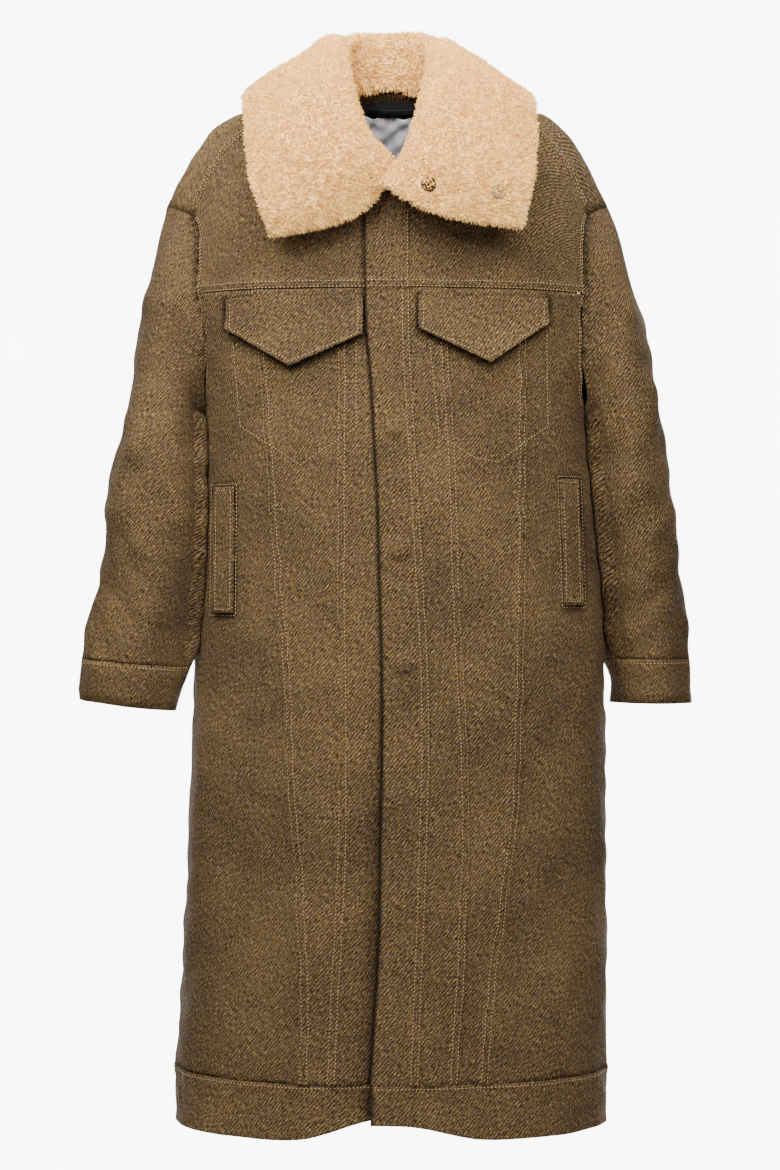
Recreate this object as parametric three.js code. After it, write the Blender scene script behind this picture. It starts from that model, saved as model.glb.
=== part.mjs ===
// Trucker coat: a long drop-shoulder coat in heavy twill with a shearling collar.
// Millimetres, +Z up, the wearer faces -Y, and +X is the wearer's left.
// The origin lies between the shoulders, in the middle of the neck, a little above the shoulder tips.
import * as THREE from "three";

// ---------------------------------------------------------------- driving dimensions
const CLOTH = 2.4; // wall of the twill with its backing
const THIN_CLOTH = 1.2; // wall of the lining pieces that show inside the neck
const SEAM_GAP = 0.3; // clearance between two pieces that are sewn together
const LAY_GAP = 0.4; // clearance under a piece that lies on another
const LINING_GAP = 1.5; // clearance of the pieces inside the neck, which span the yoke's facets
const SNAP_GAP = 1; // clearance of the snaps on the collar's facets
const ARMHOLE_GAP = 0.8; // clearance of the armhole seams, whose two edges are faceted apart
const SQUARENESS = 2.3; // exponent of the torso's rings, 2 is an ellipse
const YOKE_Z = -230; // height of both yoke seams
const HEM_SEAM_Z = -1106; // top of the hem band
const HEM_Z = -1168; // lowest edge of the coat, at the sides and the back
const HEM_RISE_UNDER = 27; // how far the hem rises at the centre of the front that lies under
const HEM_RISE_OVER = 21; // the same on the front that lies over
const HEM_RISE_REACH = 110; // distance from the centre over which the hem rises
const FLUTE_FADE = 260; // height over which a flute of the skirt grows to its full depth
const SHOULDER_HALF = 255; // half of the span between the shoulder tips
const SHOULDER_SHIFT = 4; // the coat hangs a little towards the wearer's right shoulder
const ARMHOLE_HALF = 218; // half of the span between the armholes at the yoke seams
const UNDERARM_Z = -376; // lowest point of each armhole
const FLARE_POWER = 10; // how late the armhole seam turns out to the shoulder tip
const FRONT_SEAM_ANGLE = 58; // where the forward shoulder seam lies on the shoulder's arch, degrees
const NECK_HALF_WIDTH = 88; // the neckline seen from above
const NECK_FRONT = 116;
const NECK_BACK = 46;
const NECK_POWER = 0.86; // how square the neckline is, 1 is an ellipse
const LAP_LIFT = 3.4; // how far the lapping front stands out from the one under it
const LAP_FLAT = 8; // distance past the placket's seam over which it keeps that lift
const LAP_FADE = 36; // distance over which the lift then goes
const UNDERLAP_X = 21; // free edge of the front that lies under
const UNDERLAP_SINK = 20; // how far that edge falls back near the hem
const UNDERLAP_REACH = 62; // distance from the centre over which it falls back
const SINK_TOP = -600; // height at which it starts to
const SINK_FADE = 330; // height over which it does
const DEGREE = Math.PI / 180;

// Rings of the torso: half widths at the wearer's right and left, depths to front and back.
const TORSO = [
  { z: -1176, right: 246, left: 247, front: 147, back: 146 },
  { z: -1096, right: 243, left: 248, front: 146, back: 143 },
  { z: -891, right: 234, left: 245.5, front: 143, back: 134 },
  { z: -645, right: 224, left: 241, front: 139, back: 122 },
  { z: -506, right: 217.5, left: 233.5, front: 137, back: 117 },
  { z: -376, right: 214, left: 226, front: 134, back: 115 },
  { z: -300, right: 224, left: 232, front: 130, back: 115 },
  { z: -230, right: 237, left: 240, front: 124, back: 113 },
];

// Height of the shoulders' ridge at each distance from the centre.
const RIDGE = [
  { x: 0, z: 30 },
  { x: 84, z: 12 },
  { x: 130, z: -7 },
  { x: 152, z: -12.5 },
  { x: 168, z: -13 },
  { x: 188, z: -20 },
  { x: 209, z: -37 },
  { x: 223, z: -56 },
  { x: 237, z: -83 },
  { x: 248, z: -108 },
  { x: 255, z: -124 },
];

// Soft flutes of the skirt: place round the body in degrees from the centre front (plus is the
// wearer's left), half of their reach in degrees, height out (plus) or in (minus), and where it fades out.
const FLUTES = [
  { at: -21, half: 12.8, height: 3.5, fade: -520 },
  { at: -40, half: 14.4, height: -3, fade: -600 },
  { at: -62, half: 16, height: 3, fade: -640 },
  { at: 26, half: 14.4, height: -3, fade: -560 },
  { at: 44, half: 14.4, height: 3, fade: -620 },
  { at: 66, half: 14.4, height: -2.5, fade: -660 },
  { at: 118, half: 20.8, height: -7, fade: -470 },
  { at: 146, half: 20.8, height: 7, fade: -420 },
  { at: 178, half: 24, height: -8, fade: -430 },
  { at: -146, half: 20.8, height: 6, fade: -450 },
  { at: -116, half: 19.2, height: -6, fade: -500 },
];

// Seams of the fronts: distance from the centre at each height.
const LAP_EDGE = [
  { z: -1176, x: -22.5 },
  { z: -1129, x: -24 },
  { z: -1073, x: -21 },
  { z: -947, x: -13 },
  { z: -863, x: -12 },
  { z: -695, x: -9.5 },
  { z: -543, x: -13 },
  { z: -455, x: -15.5 },
  { z: -381, x: -19.5 },
  { z: -305, x: -24 },
  { z: -266, x: -28.5 },
  { z: -100, x: -29.5 },
];
const PLACKET_SEAM = [
  { z: -1176, x: 29 },
  { z: -1073, x: 31 },
  { z: -891, x: 38 },
  { z: -720, x: 41 },
  { z: -619, x: 38.5 },
  { z: -543, x: 34.5 },
  { z: -455, x: 30.5 },
  { z: -290, x: 20.5 },
  { z: -230, x: 20 },
  { z: -165, x: 20 },
  { z: -100, x: 20 },
];
const INNER_SEAM_LEFT = [
  { z: -1106, x: 72.5 },
  { z: -1003, x: 80 },
  { z: -863, x: 84 },
  { z: -762, x: 83 },
  { z: -619, x: 76 },
  { z: -508, x: 73 },
  { z: -418, x: 70 },
  { z: -299, x: 62 },
  { z: -230, x: 59 },
];
const OUTER_SEAM_LEFT = [
  { z: -1106, x: 107 },
  { z: -1003, x: 116 },
  { z: -891, x: 129 },
  { z: -821, x: 138 },
  { z: -695, x: 142 },
  { z: -543, x: 147 },
  { z: -420, x: 149 },
  { z: -289, x: 148 },
  { z: -230, x: 146 },
];
const INNER_SEAM_RIGHT = [
  { z: -1106, x: -70 },
  { z: -1003, x: -66 },
  { z: -863, x: -58 },
  { z: -695, x: -56 },
  { z: -543, x: -57.5 },
  { z: -230, x: -58.5 },
];
const OUTER_SEAM_RIGHT = [
  { z: -1106, x: -98 },
  { z: -989, x: -97 },
  { z: -863, x: -102 },
  { z: -762, x: -111 },
  { z: -645, x: -118 },
  { z: -543, x: -130 },
  { z: -430, x: -135 },
  { z: -355, x: -141 },
  { z: -230, x: -149 },
];

// Seams of the back, the same on both sides of its middle.
const BACK_SEAM = [
  { z: -1106, x: 92 },
  { z: -645, x: 100 },
  { z: -230, x: 122 },
];

// Stations of the sleeve, from the armhole to the cuff seam. Each is a slanting oval: its outer and
// inner ends seen from the front, its half depth, how far it lies forward, and how far it has
// changed from the armhole's shape to an oval.
const SLEEVE_RIGHT = [
  { outX: -264, outZ: -146, inX: -217, inZ: -378, depth: 72, y: 0, round: 0.1 },
  { outX: -271, outZ: -180, inX: -217, inZ: -380, depth: 76, y: -2, round: 0.25 },
  { outX: -279, outZ: -222, inX: -217, inZ: -383, depth: 79, y: -5, round: 0.45 },
  { outX: -288, outZ: -262, inX: -217.5, inZ: -387, depth: 81, y: -8, round: 0.65 },
  { outX: -295, outZ: -305, inX: -218, inZ: -393, depth: 81, y: -12, round: 0.85 },
  { outX: -302, outZ: -350, inX: -218, inZ: -404, depth: 80, y: -15, round: 1 },
  { outX: -309, outZ: -394, inX: -217, inZ: -424, depth: 78, y: -18, round: 1 },
  { outX: -319, outZ: -440, inX: -216, inZ: -455, depth: 76, y: -22, round: 1 },
  { outX: -329, outZ: -504, inX: -216, inZ: -510, depth: 72, y: -27, round: 1 },
  { outX: -337, outZ: -560, inX: -221, inZ: -562, depth: 68, y: -31, round: 1 },
  { outX: -345, outZ: -610, inX: -229, inZ: -614, depth: 63, y: -34, round: 1 },
  { outX: -349.5, outZ: -640, inX: -233, inZ: -650, depth: 60, y: -36, round: 1 },
];
const SLEEVE_LEFT = [
  { outX: 260, outZ: -146, inX: 229, inZ: -378, depth: 72, y: 0, round: 0.1 },
  { outX: 268, outZ: -180, inX: 229, inZ: -380, depth: 76, y: 1, round: 0.25 },
  { outX: 279, outZ: -222, inX: 229, inZ: -383, depth: 79, y: 2, round: 0.45 },
  { outX: 289, outZ: -262, inX: 229.5, inZ: -387, depth: 81, y: 4, round: 0.65 },
  { outX: 297, outZ: -305, inX: 230, inZ: -393, depth: 81, y: 6, round: 0.85 },
  { outX: 307, outZ: -350, inX: 231, inZ: -404, depth: 80, y: 9, round: 1 },
  { outX: 315, outZ: -394, inX: 232, inZ: -424, depth: 78, y: 12, round: 1 },
  { outX: 321, outZ: -440, inX: 234, inZ: -455, depth: 76, y: 15, round: 1 },
  { outX: 331, outZ: -504, inX: 237, inZ: -510, depth: 72, y: 19, round: 1 },
  { outX: 337, outZ: -560, inX: 242, inZ: -562, depth: 68, y: 22, round: 1 },
  { outX: 344, outZ: -610, inX: 249, inZ: -612, depth: 63, y: 25, round: 1 },
  { outX: 347, outZ: -642, inX: 252, inZ: -642, depth: 60, y: 27, round: 1 },
];
const CUFF_RIGHT = [
  { outX: -349.6, outZ: -640.5, inX: -233.1, inZ: -650.5, depth: 60.5, y: -36, round: 1 },
  { outX: -352.5, outZ: -687, inX: -240, inZ: -700, depth: 59, y: -37, round: 1 },
];
const CUFF_LEFT = [
  { outX: 347.1, outZ: -642.5, inX: 252.1, inZ: -642.5, depth: 60.5, y: 27, round: 1 },
  { outX: 351, outZ: -693, inX: 255, inZ: -693, depth: 59, y: 28, round: 1 },
];

// Creases of the sleeves: how far down, where round (0 outside, 90 front), their reach in
// millimetres and degrees, how much they slope, and how far in or out they go.
const SLEEVE_CREASES = [
  { z: -262, at: 30, reach: 20.8, turn: 55, slope: 0.25, height: -4 },
  { z: -300, at: 20, reach: 25.6, turn: 60, slope: 0.2, height: 4 },
  { z: -388, at: 95, reach: 25.6, turn: 60, slope: -0.5, height: -5 },
  { z: -436, at: 20, reach: 25.6, turn: 60, slope: -0.3, height: -4 },
  { z: -470, at: 60, reach: 28.8, turn: 70, slope: -0.35, height: 4 },
  { z: -430, at: -120, reach: 32, turn: 70, slope: 0.4, height: -5 },
  { z: -520, at: -90, reach: 32, turn: 70, slope: 0.3, height: 4 },
];

const COLLAR_TUCK = -4.2; // how far the collar's seam lies out from the neckline, minus is inwards

// Stations of the collar from the wearer's right front end round the neck to the left one. Each holds
// where its seam lies on the neckline (a turn from the centre front, minus at the wearer's right),
// then the pile's face at the roll, the fall and the free edge. The rows near the front ends also say
// how far out from the neckline and how far up their seam lies.
const COLLAR = [
  { turn: 2, out: -8, up: 4, roll: [8, -121, -98], fall: [-34, -131, -150], edge: [-131, -137, -174], thick: 6 },
  { turn: -14, roll: [-16, -125, -80], fall: [-77, -142, -130], edge: [-136, -134, -157], thick: 11 },
  { turn: -34, roll: [-39, -108, -46], fall: [-87, -132, -92], edge: [-142, -125, -135], thick: 13 },
  { turn: -58, roll: [-50, -74, 2], fall: [-98, -112, -48], edge: [-149, -107, -104], thick: 13 },
  { turn: -75, roll: [-56, -36, 38], fall: [-104, -78, -4], edge: [-156, -70, -52], thick: 13 },
  { turn: -90, roll: [-61, 4, 67], fall: [-104, -22, 32], edge: [-160, -14, 1], thick: 12 },
  { turn: -125, roll: [-51, 38, 77], fall: [-80, 52, 28], edge: [-124, 76, -20], thick: 13 },
  { turn: -162, roll: [-30, 53, 80], fall: [-48, 88, 30], edge: [-70, 108, -28], thick: 13 },
  { turn: 180, roll: [0, 57, 79], fall: [0, 97, 28], edge: [0, 117, -31], thick: 13 },
  { turn: 162, roll: [30, 53, 80], fall: [48, 88, 30], edge: [70, 108, -28], thick: 13 },
  { turn: 125, roll: [48, 38, 75], fall: [77, 52, 26], edge: [120, 76, -22], thick: 13 },
  { turn: 90, roll: [54, 4, 62], fall: [98, -22, 28], edge: [154, -14, -2], thick: 12 },
  { turn: 75, roll: [48, -36, 31], fall: [101, -78, -8], edge: [155, -70, -54], thick: 13 },
  { turn: 58, roll: [42, -74, -4], fall: [96, -112, -48], edge: [152, -106, -100], thick: 13 },
  { turn: 34, roll: [34, -114, -48], fall: [88, -136, -88], edge: [149, -126, -130], thick: 13 },
  { turn: 14, out: 2, up: 1, roll: [22, -139, -86], fall: [72, -153, -124], edge: [145, -136, -151], thick: 9 },
  { turn: 1.6, out: 12, up: 1, roll: [-8, -152, -121], fall: [41, -159, -152], edge: [142, -138, -166], thick: 7 },
];

// ---------------------------------------------------------------- small helpers
const clamp01 = (value) => Math.min(1, Math.max(0, value));
const smooth = (value) => {
  const t = clamp01(value);
  return t * t * (3 - 2 * t);
};
const lerp = (a, b, t) => a + (b - a) * t;
const range = (count, from, to) => Array.from({ length: count + 1 }, (_, i) => lerp(from, to, i / count));

/** Reads a table column at a place along its key, with a smooth curve through the rows. */
function read(table, key, at, column) {
  const rows = table[0][key] < table[table.length - 1][key] ? table : [...table].reverse();
  const last = rows.length - 1;
  if (at <= rows[0][key]) return rows[0][column];
  if (at >= rows[last][key]) return rows[last][column];
  let i = 0;
  while (rows[i + 1][key] < at) i += 1;
  const slope = (a, b) => (rows[b][column] - rows[a][column]) / (rows[b][key] - rows[a][key]);
  const span = rows[i + 1][key] - rows[i][key];
  const t = (at - rows[i][key]) / span;
  const m0 = slope(Math.max(0, i - 1), i + 1) * span;
  const m1 = slope(i, Math.min(last, i + 2)) * span;
  const a = rows[i][column];
  const b = rows[i + 1][column];
  const t2 = t * t;
  const t3 = t2 * t;
  return (2 * t3 - 3 * t2 + 1) * a + (t3 - 2 * t2 + t) * m0 + (3 * t2 - 2 * t3) * b + (t3 - t2) * m1;
}

/** A bump of height 1 at the middle of -1..1 that fades to nothing at both ends. */
const bump = (value) => (Math.abs(value) < 1 ? 0.5 + 0.5 * Math.cos(Math.PI * value) : 0);

// ---------------------------------------------------------------- the coat's main surface
const RING_POWER = 2 / SQUARENESS;
const ringSide = (angle) => (angle < 0 ? "right" : "left");

/** Half width and depth of the torso's ring at a height, on the side of an angle. */
function ring(angle, z) {
  return {
    width: read(TORSO, "z", z, ringSide(angle)),
    depth: read(TORSO, "z", z, Math.abs(angle) < Math.PI / 2 ? "front" : "back"),
  };
}

/** Point of the torso below the yokes. The angle is 0 at the centre front, plus to the wearer's left. */
function torso(angle, z) {
  const { width, depth } = ring(angle, z);
  const turn = Math.abs(angle);
  const sine = Math.abs(Math.sin(turn));
  const cosine = Math.cos(turn);
  let swell = 0;
  for (const flute of FLUTES) {
    const fade = smooth((flute.fade - z) / FLUTE_FADE);
    swell += flute.height * fade * bump((angle / DEGREE - flute.at) / flute.half);
  }
  const grow = 1 + swell / Math.hypot(width * sine, depth * cosine);
  const x = Math.sign(angle) * width * sine ** RING_POWER * grow;
  const y = -Math.sign(cosine) * depth * Math.abs(cosine) ** RING_POWER * grow;
  return new THREE.Vector3(x, y, z);
}

/** Angle at which the torso's ring lies at a distance from the centre, on the front. */
function angleAt(x, z) {
  const width = read(TORSO, "z", z, x < 0 ? "right" : "left");
  return Math.sign(x) * Math.asin(clamp01(Math.abs(x) / width) ** (1 / RING_POWER));
}

const ARCH_FRONT = { depth: 1, height: 0.85 };
const ARCH_BACK = { depth: 0.8, height: 0.8 };

/**
 * Point of the shoulders above the yoke seams. Across runs from -1 at the wearer's right armhole to
 * 1 at the left one, and the arch from 0 at the front yoke seam over the ridge to 180 degrees.
 */
function shoulder(across, arch) {
  const turn = arch * DEGREE;
  const part = Math.abs(across);
  const seam = torso(angleAt(across * ARMHOLE_HALF, YOKE_Z), YOKE_Z);
  const front = turn < Math.PI / 2;
  const backDepth = read(TORSO, "z", YOKE_Z, "back");
  const frontDepth = read(TORSO, "z", YOKE_Z, "front");
  const depth = front ? seam.y : (-seam.y * backDepth) / frontDepth;
  const power = front ? ARCH_FRONT : ARCH_BACK;
  const sine = Math.abs(Math.sin(turn));
  const rise = Math.sign(Math.sin(turn)) * sine ** power.height;
  const spread = ARMHOLE_HALF + (SHOULDER_HALF - ARMHOLE_HALF) * sine ** FLARE_POWER;
  const top = read(RIDGE, "x", part * SHOULDER_HALF, "z");
  const y = depth * Math.abs(Math.cos(turn)) ** power.depth;
  const z = YOKE_Z + (top - YOKE_Z) * rise;
  const shift = -SHOULDER_SHIFT * sine ** FLARE_POWER * smooth(part);
  return new THREE.Vector3(across * spread + shift, y, z);
}

/** Where a point of the shoulders' front, given as seen from the front, lies on their surface. */
function shoulderPlace(x, z) {
  let across = x / ARMHOLE_HALF;
  let arch = 0;
  for (let round = 0; round < 6; round += 1) {
    const top = read(RIDGE, "x", Math.abs(across) * SHOULDER_HALF, "z");
    const sine = clamp01((z - YOKE_Z) / (top - YOKE_Z)) ** (1 / ARCH_FRONT.height);
    arch = Math.asin(sine) / DEGREE;
    across = x / (ARMHOLE_HALF + (SHOULDER_HALF - ARMHOLE_HALF) * sine ** FLARE_POWER);
  }
  return { across, arch };
}

/** Point of the front, on the torso or the shoulders, given as seen from the front. */
function front(x, z) {
  if (z <= YOKE_Z) return torso(angleAt(x, z), z);
  const { across, arch } = shoulderPlace(x, z);
  return shoulder(across, arch);
}

/** Where the neckline crosses the shoulders' surface, by a turn of 0 (front) to 180 degrees (back). */
function necklinePlace(turn) {
  const cosine = Math.cos(turn * DEGREE);
  const x = NECK_HALF_WIDTH * Math.abs(Math.sin(turn * DEGREE)) ** NECK_POWER;
  const y = -Math.sign(cosine) * (cosine > 0 ? NECK_FRONT : NECK_BACK) * Math.abs(cosine) ** NECK_POWER;
  let across = x / SHOULDER_HALF;
  let arch = 90;
  for (let round = 0; round < 12; round += 1) {
    const isFront = cosine > 0;
    const depth = Math.abs(shoulder(across, isFront ? 0 : 180).y);
    const power = isFront ? ARCH_FRONT.depth : ARCH_BACK.depth;
    const rest = clamp01(Math.abs(y) / depth) ** (1 / power);
    arch = isFront ? Math.acos(rest) / DEGREE : 180 - Math.acos(rest) / DEGREE;
    const spread = ARMHOLE_HALF + (SHOULDER_HALF - ARMHOLE_HALF) * Math.sin(arch * DEGREE) ** FLARE_POWER;
    across = x / spread;
  }
  return { across, arch };
}

// ---------------------------------------------------------------- walls
/** Normal of a surface given by two parameters, from points just beside the place. */
function normalAt(surface, a, b, stepA, stepB) {
  const alongA = surface(a + stepA, b).sub(surface(a - stepA, b));
  const alongB = surface(a, b + stepB).sub(surface(a, b - stepB));
  return alongA.cross(alongB).normalize();
}

/** A closed body from a grid of outer points and the inner points behind them. */
function wallFromGrids(outer, inner, closed = false) {
  const across = outer.length;
  const along = outer[0].length;
  const positions = [];
  for (const grid of [outer, inner]) {
    for (const line of grid) {
      for (const point of line) positions.push(point.x, point.y, point.z);
    }
  }
  const index = [];
  const out = (i, j) => (i % across) * along + j;
  const inn = (i, j) => across * along + out(i, j);
  const quad = (a, b, c, d) => index.push(a, b, c, a, c, d);
  const lastColumn = closed ? across : across - 1;
  for (let i = 0; i < lastColumn; i += 1) {
    for (let j = 0; j < along - 1; j += 1) {
      quad(out(i, j), out(i + 1, j), out(i + 1, j + 1), out(i, j + 1));
      quad(inn(i, j), inn(i, j + 1), inn(i + 1, j + 1), inn(i + 1, j));
    }
    quad(inn(i, 0), inn(i + 1, 0), out(i + 1, 0), out(i, 0));
    quad(out(i, along - 1), out(i + 1, along - 1), inn(i + 1, along - 1), inn(i, along - 1));
  }
  if (!closed) {
    for (let j = 0; j < along - 1; j += 1) {
      quad(inn(0, j + 1), inn(0, j), out(0, j), out(0, j + 1));
      quad(out(across - 1, j + 1), out(across - 1, j), inn(across - 1, j), inn(across - 1, j + 1));
    }
  }
  const geometry = new THREE.BufferGeometry();
  geometry.setAttribute("position", new THREE.Float32BufferAttribute(positions, 3));
  geometry.setIndex(index);
  geometry.computeVertexNormals();
  return geometry;
}

/**
 * A cloth wall on a surface. The lift is how far its outer face stands out from the surface, and
 * may differ from place to place; the wall's thickness goes inwards from there.
 */
function clothWall({ surface, a, b, lift = () => 0, thickness = CLOTH }) {
  const stepA = (a[a.length - 1] - a[0]) * 1e-3;
  const stepB = (b[b.length - 1] - b[0]) * 1e-3;
  const outer = [];
  const inner = [];
  for (const u of a) {
    const outerLine = [];
    const innerLine = [];
    for (const v of b) {
      const point = surface(u, v);
      const normal = normalAt(surface, u, v, stepA, stepB);
      const height = lift(point, u, v);
      outerLine.push(point.clone().addScaledVector(normal, height));
      innerLine.push(point.clone().addScaledVector(normal, height - thickness));
    }
    outer.push(outerLine);
    inner.push(innerLine);
  }
  return wallFromGrids(outer, inner);
}

// ---------------------------------------------------------------- materials
const finish = (color, roughness, metalness = 0) => () =>
  new THREE.MeshStandardMaterial({ color, roughness, metalness });
const twill = finish(0x6b5839, 0.9);
const pile = finish(0xe6c391, 0.95);
const darkBand = finish(0x26262b, 0.85);
const satin = finish(0x8f9097, 0.4);
const bronze = finish(0x6d5842, 0.35, 1);

const coat = new THREE.Group();

/** Adds one named piece of the coat. */
function addPiece(name, geometry, material) {
  const mesh = new THREE.Mesh(geometry, material());
  mesh.name = name;
  coat.add(mesh);
}

// ---------------------------------------------------------------- fronts
const HALF_GAP = SEAM_GAP / 2;
const lapEdge = (z) => read(LAP_EDGE, "z", z, "x");
const placketSeam = (z) => read(PLACKET_SEAM, "z", z, "x");

/** How far the wearer's left front stands out, so that it laps over the right one. */
const lapLift = (x, z) => LAP_LIFT * (1 - smooth((x - placketSeam(z) - LAP_FLAT) / LAP_FADE));

/** How far the wearer's right front falls back towards its free edge near the hem. */
const lapSink = (x, z) =>
  -UNDERLAP_SINK * smooth((SINK_TOP - z) / SINK_FADE) * smooth(1 + x / UNDERLAP_REACH);

/** Height of the hem's edge, which rises towards the centre front. */
function hemAt(x, y, rise) {
  return y > 0 ? HEM_Z : HEM_Z + rise * (1 - smooth(Math.abs(x) / HEM_RISE_REACH));
}

const PANEL_TOP = YOKE_Z - HALF_GAP;
const PANEL_BOTTOM = HEM_SEAM_Z + HALF_GAP;
// The rows of the panels: wide steps below the chest, narrow ones beside the armhole.
const panelHeights = [...range(11, PANEL_BOTTOM, -440), ...range(4, -400, PANEL_TOP)];

/** Point of the torso at an angle that may run on past the centre back. */
const torsoRound = (angle, z) => torso(angle > Math.PI ? angle - 2 * Math.PI : angle, z);

/** A panel of the body between two seams, each an angle for every height. */
function bodyPanel(name, [from, to], columns, lift) {
  const surface = (part, z) => torsoRound(lerp(from(z), to(z), part), z);
  addPiece(name, clothWall({ surface, a: range(columns, 0, 1), b: panelHeights, lift }), twill);
}

const seamAngle = (seam, shift) => (z) => angleAt(seam(z) + shift, z);
const innerLeft = (z) => read(INNER_SEAM_LEFT, "z", z, "x");
const outerLeft = (z) => read(OUTER_SEAM_LEFT, "z", z, "x");
const innerRight = (z) => read(INNER_SEAM_RIGHT, "z", z, "x");
const outerRight = (z) => read(OUTER_SEAM_RIGHT, "z", z, "x");
const SIDE_ANGLE = Math.PI / 2;
const SIDE_GAP_ANGLE = 0.0011; // half a seam gap at the side, as an angle of the ring

/** Angle of the armhole's edge on the torso, from the yoke seam down to the underarm at the side. */
function armholeAngle(z, side, half) {
  if (z <= UNDERARM_Z) return SIDE_ANGLE;
  const fall = (YOKE_Z - z) / (YOKE_Z - UNDERARM_Z);
  const top = angleAt(side * ARMHOLE_HALF, YOKE_Z) * side;
  const angle = top + (SIDE_ANGLE - top) * (1 - Math.sqrt(clamp01(1 - fall * fall)));
  return half === "front" ? angle : Math.PI - angle;
}

const leftLift = (point) => lapLift(point.x, point.z);
const rightLift = (point) => lapSink(point.x, point.z);
const sideEdge = (side) => (z) => {
  const edge = armholeAngle(z, side, "front");
  return side * (edge - SIDE_GAP_ANGLE);
};

// Each front runs from one seam to the next, from the placket out to the side or from the side in.
const before = (seam) => seamAngle(seam, -HALF_GAP);
const after = (seam) => seamAngle(seam, HALF_GAP);
const underlapEdge = (z) => angleAt(UNDERLAP_X, z);
bodyPanel("front_inner_left", [after(placketSeam), before(innerLeft)], 4, leftLift);
bodyPanel("front_mid_left", [after(innerLeft), before(outerLeft)], 4, leftLift);
bodyPanel("front_side_left", [after(outerLeft), sideEdge(1)], 5, leftLift);
bodyPanel("front_side_right", [sideEdge(-1), before(outerRight)], 5, rightLift);
bodyPanel("front_mid_right", [after(outerRight), before(innerRight)], 4, rightLift);
bodyPanel("front_inner_right", [after(innerRight), underlapEdge], 5, rightLift);

// The placket: one strip from the neckline to the hem band, over the wearer's right front.
const PLACKET_TOP = -124;
addPiece(
  "placket",
  clothWall({
    surface: (part, z) => front(lerp(lapEdge(z), placketSeam(z) - HALF_GAP, part), z),
    a: range(4, 0, 1),
    b: [...range(17, PANEL_BOTTOM, YOKE_Z), ...range(4, YOKE_Z + 25, PLACKET_TOP)],
    lift: () => LAP_LIFT,
  }),
  twill,
);

// ---------------------------------------------------------------- flaps and welts
const FLAP_TOP = -239;
// Corners of the flaps as seen from the front: their inner and outer ends and their point.
const CHEST_FLAP_LEFT = { inner: { x: 30, z: -276 }, outer: { x: 172, z: -267 }, point: { x: 108, z: -313 } };
const CHEST_FLAP_RIGHT = { inner: { x: -31, z: -282 }, outer: { x: -181, z: -272 }, point: { x: -110, z: -317 } };
const FLAP_LIFT = 4.5; // how far a flap's lower edge stands off the front

/** Height of a flap's lower edge: two straight lines that meet in its point. */
function flapBottom(flap, x) {
  const { point } = flap;
  const corner = Math.abs(x) < Math.abs(point.x) ? flap.inner : flap.outer;
  return lerp(point.z, corner.z, clamp01((x - point.x) / (corner.x - point.x)));
}

/** A pointed chest flap that lies on the front under the yoke seam and lifts towards its edge. */
function chestFlap(name, flap, side) {
  const { inner, outer, point: tip } = flap;
  const steps = [...range(5, inner.x, tip.x), ...range(4, tip.x, outer.x).slice(1)];
  const columns = side > 0 ? steps : steps.reverse();
  const surface = (x, part) => front(x, lerp(flapBottom(flap, x), FLAP_TOP, part));
  const base = side > 0 ? lapLift : () => 0;
  const rise = (part) => FLAP_LIFT * (1 - part) ** 1.5;
  const lift = (point, x, part) => CLOTH + LAY_GAP + base(point.x, point.z) + rise(part);
  addPiece(name, clothWall({ surface, a: columns, b: range(4, 0, 1), lift }), twill);
}
chestFlap("chest_flap_left", CHEST_FLAP_LEFT, 1);
chestFlap("chest_flap_right", CHEST_FLAP_RIGHT, -1);

const WELT_SEAT = 0.1; // the welts sit on the hollow side of the front's facets
const WELT_LIFT = 1.5; // how far the opening edge of a welt stands off

/** A narrow upright welt of a hip pocket, lifted a little at the edge that opens. */
function welt(name, bottom, top, inner, outer) {
  const from = (z) => lerp(inner.low, inner.high, (z - bottom) / (top - bottom));
  const to = (z) => lerp(outer.low, outer.high, (z - bottom) / (top - bottom));
  const side = Math.sign(outer.low);
  const surface = (part, z) => front(lerp(from(z), to(z), part), z);
  const lift = (point, part) => CLOTH + WELT_SEAT + WELT_LIFT * (side > 0 ? part : 1 - part);
  const a = range(3, 0, 1);
  const flipped = side > 0 ? surface : (part, z) => front(lerp(to(z), from(z), part), z);
  addPiece(name, clothWall({ surface: flipped, a, b: range(6, bottom, top), lift }), twill);
}
welt("welt_left", -580, -439, { low: 193, high: 189 }, { low: 213, high: 209 });
welt("welt_right", -589, -448, { low: -176, high: -175 }, { low: -198, high: -197 });

// ---------------------------------------------------------------- yokes
const YOKE_COLUMNS = 8; // steps between the neckline and the armhole, shared by both yokes

/** Turn of the neckline at which it crosses a line of the shoulders' arch, in front of the ridge. */
function neckTurnAt(arch) {
  let low = 0;
  let high = 90;
  for (let round = 0; round < 30; round += 1) {
    const middle = (low + high) / 2;
    if (necklinePlace(middle).arch < arch) low = middle;
    else high = middle;
  }
  return low;
}

/** Place across the shoulders of the front yoke's inner edge: the centre edge, then the neckline. */
function yokeInner(arch, side) {
  const open = necklinePlace(0).arch;
  const height = shoulder(UNDERLAP_X / ARMHOLE_HALF, arch).z;
  const edge = side > 0 ? placketSeam(height) + HALF_GAP : UNDERLAP_X;
  if (arch <= open) return (side * edge) / ARMHOLE_HALF;
  const across = necklinePlace(neckTurnAt(arch)).across;
  return side > 0 ? Math.max(across, edge / ARMHOLE_HALF) : Math.max(across, -edge / ARMHOLE_HALF);
}

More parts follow.
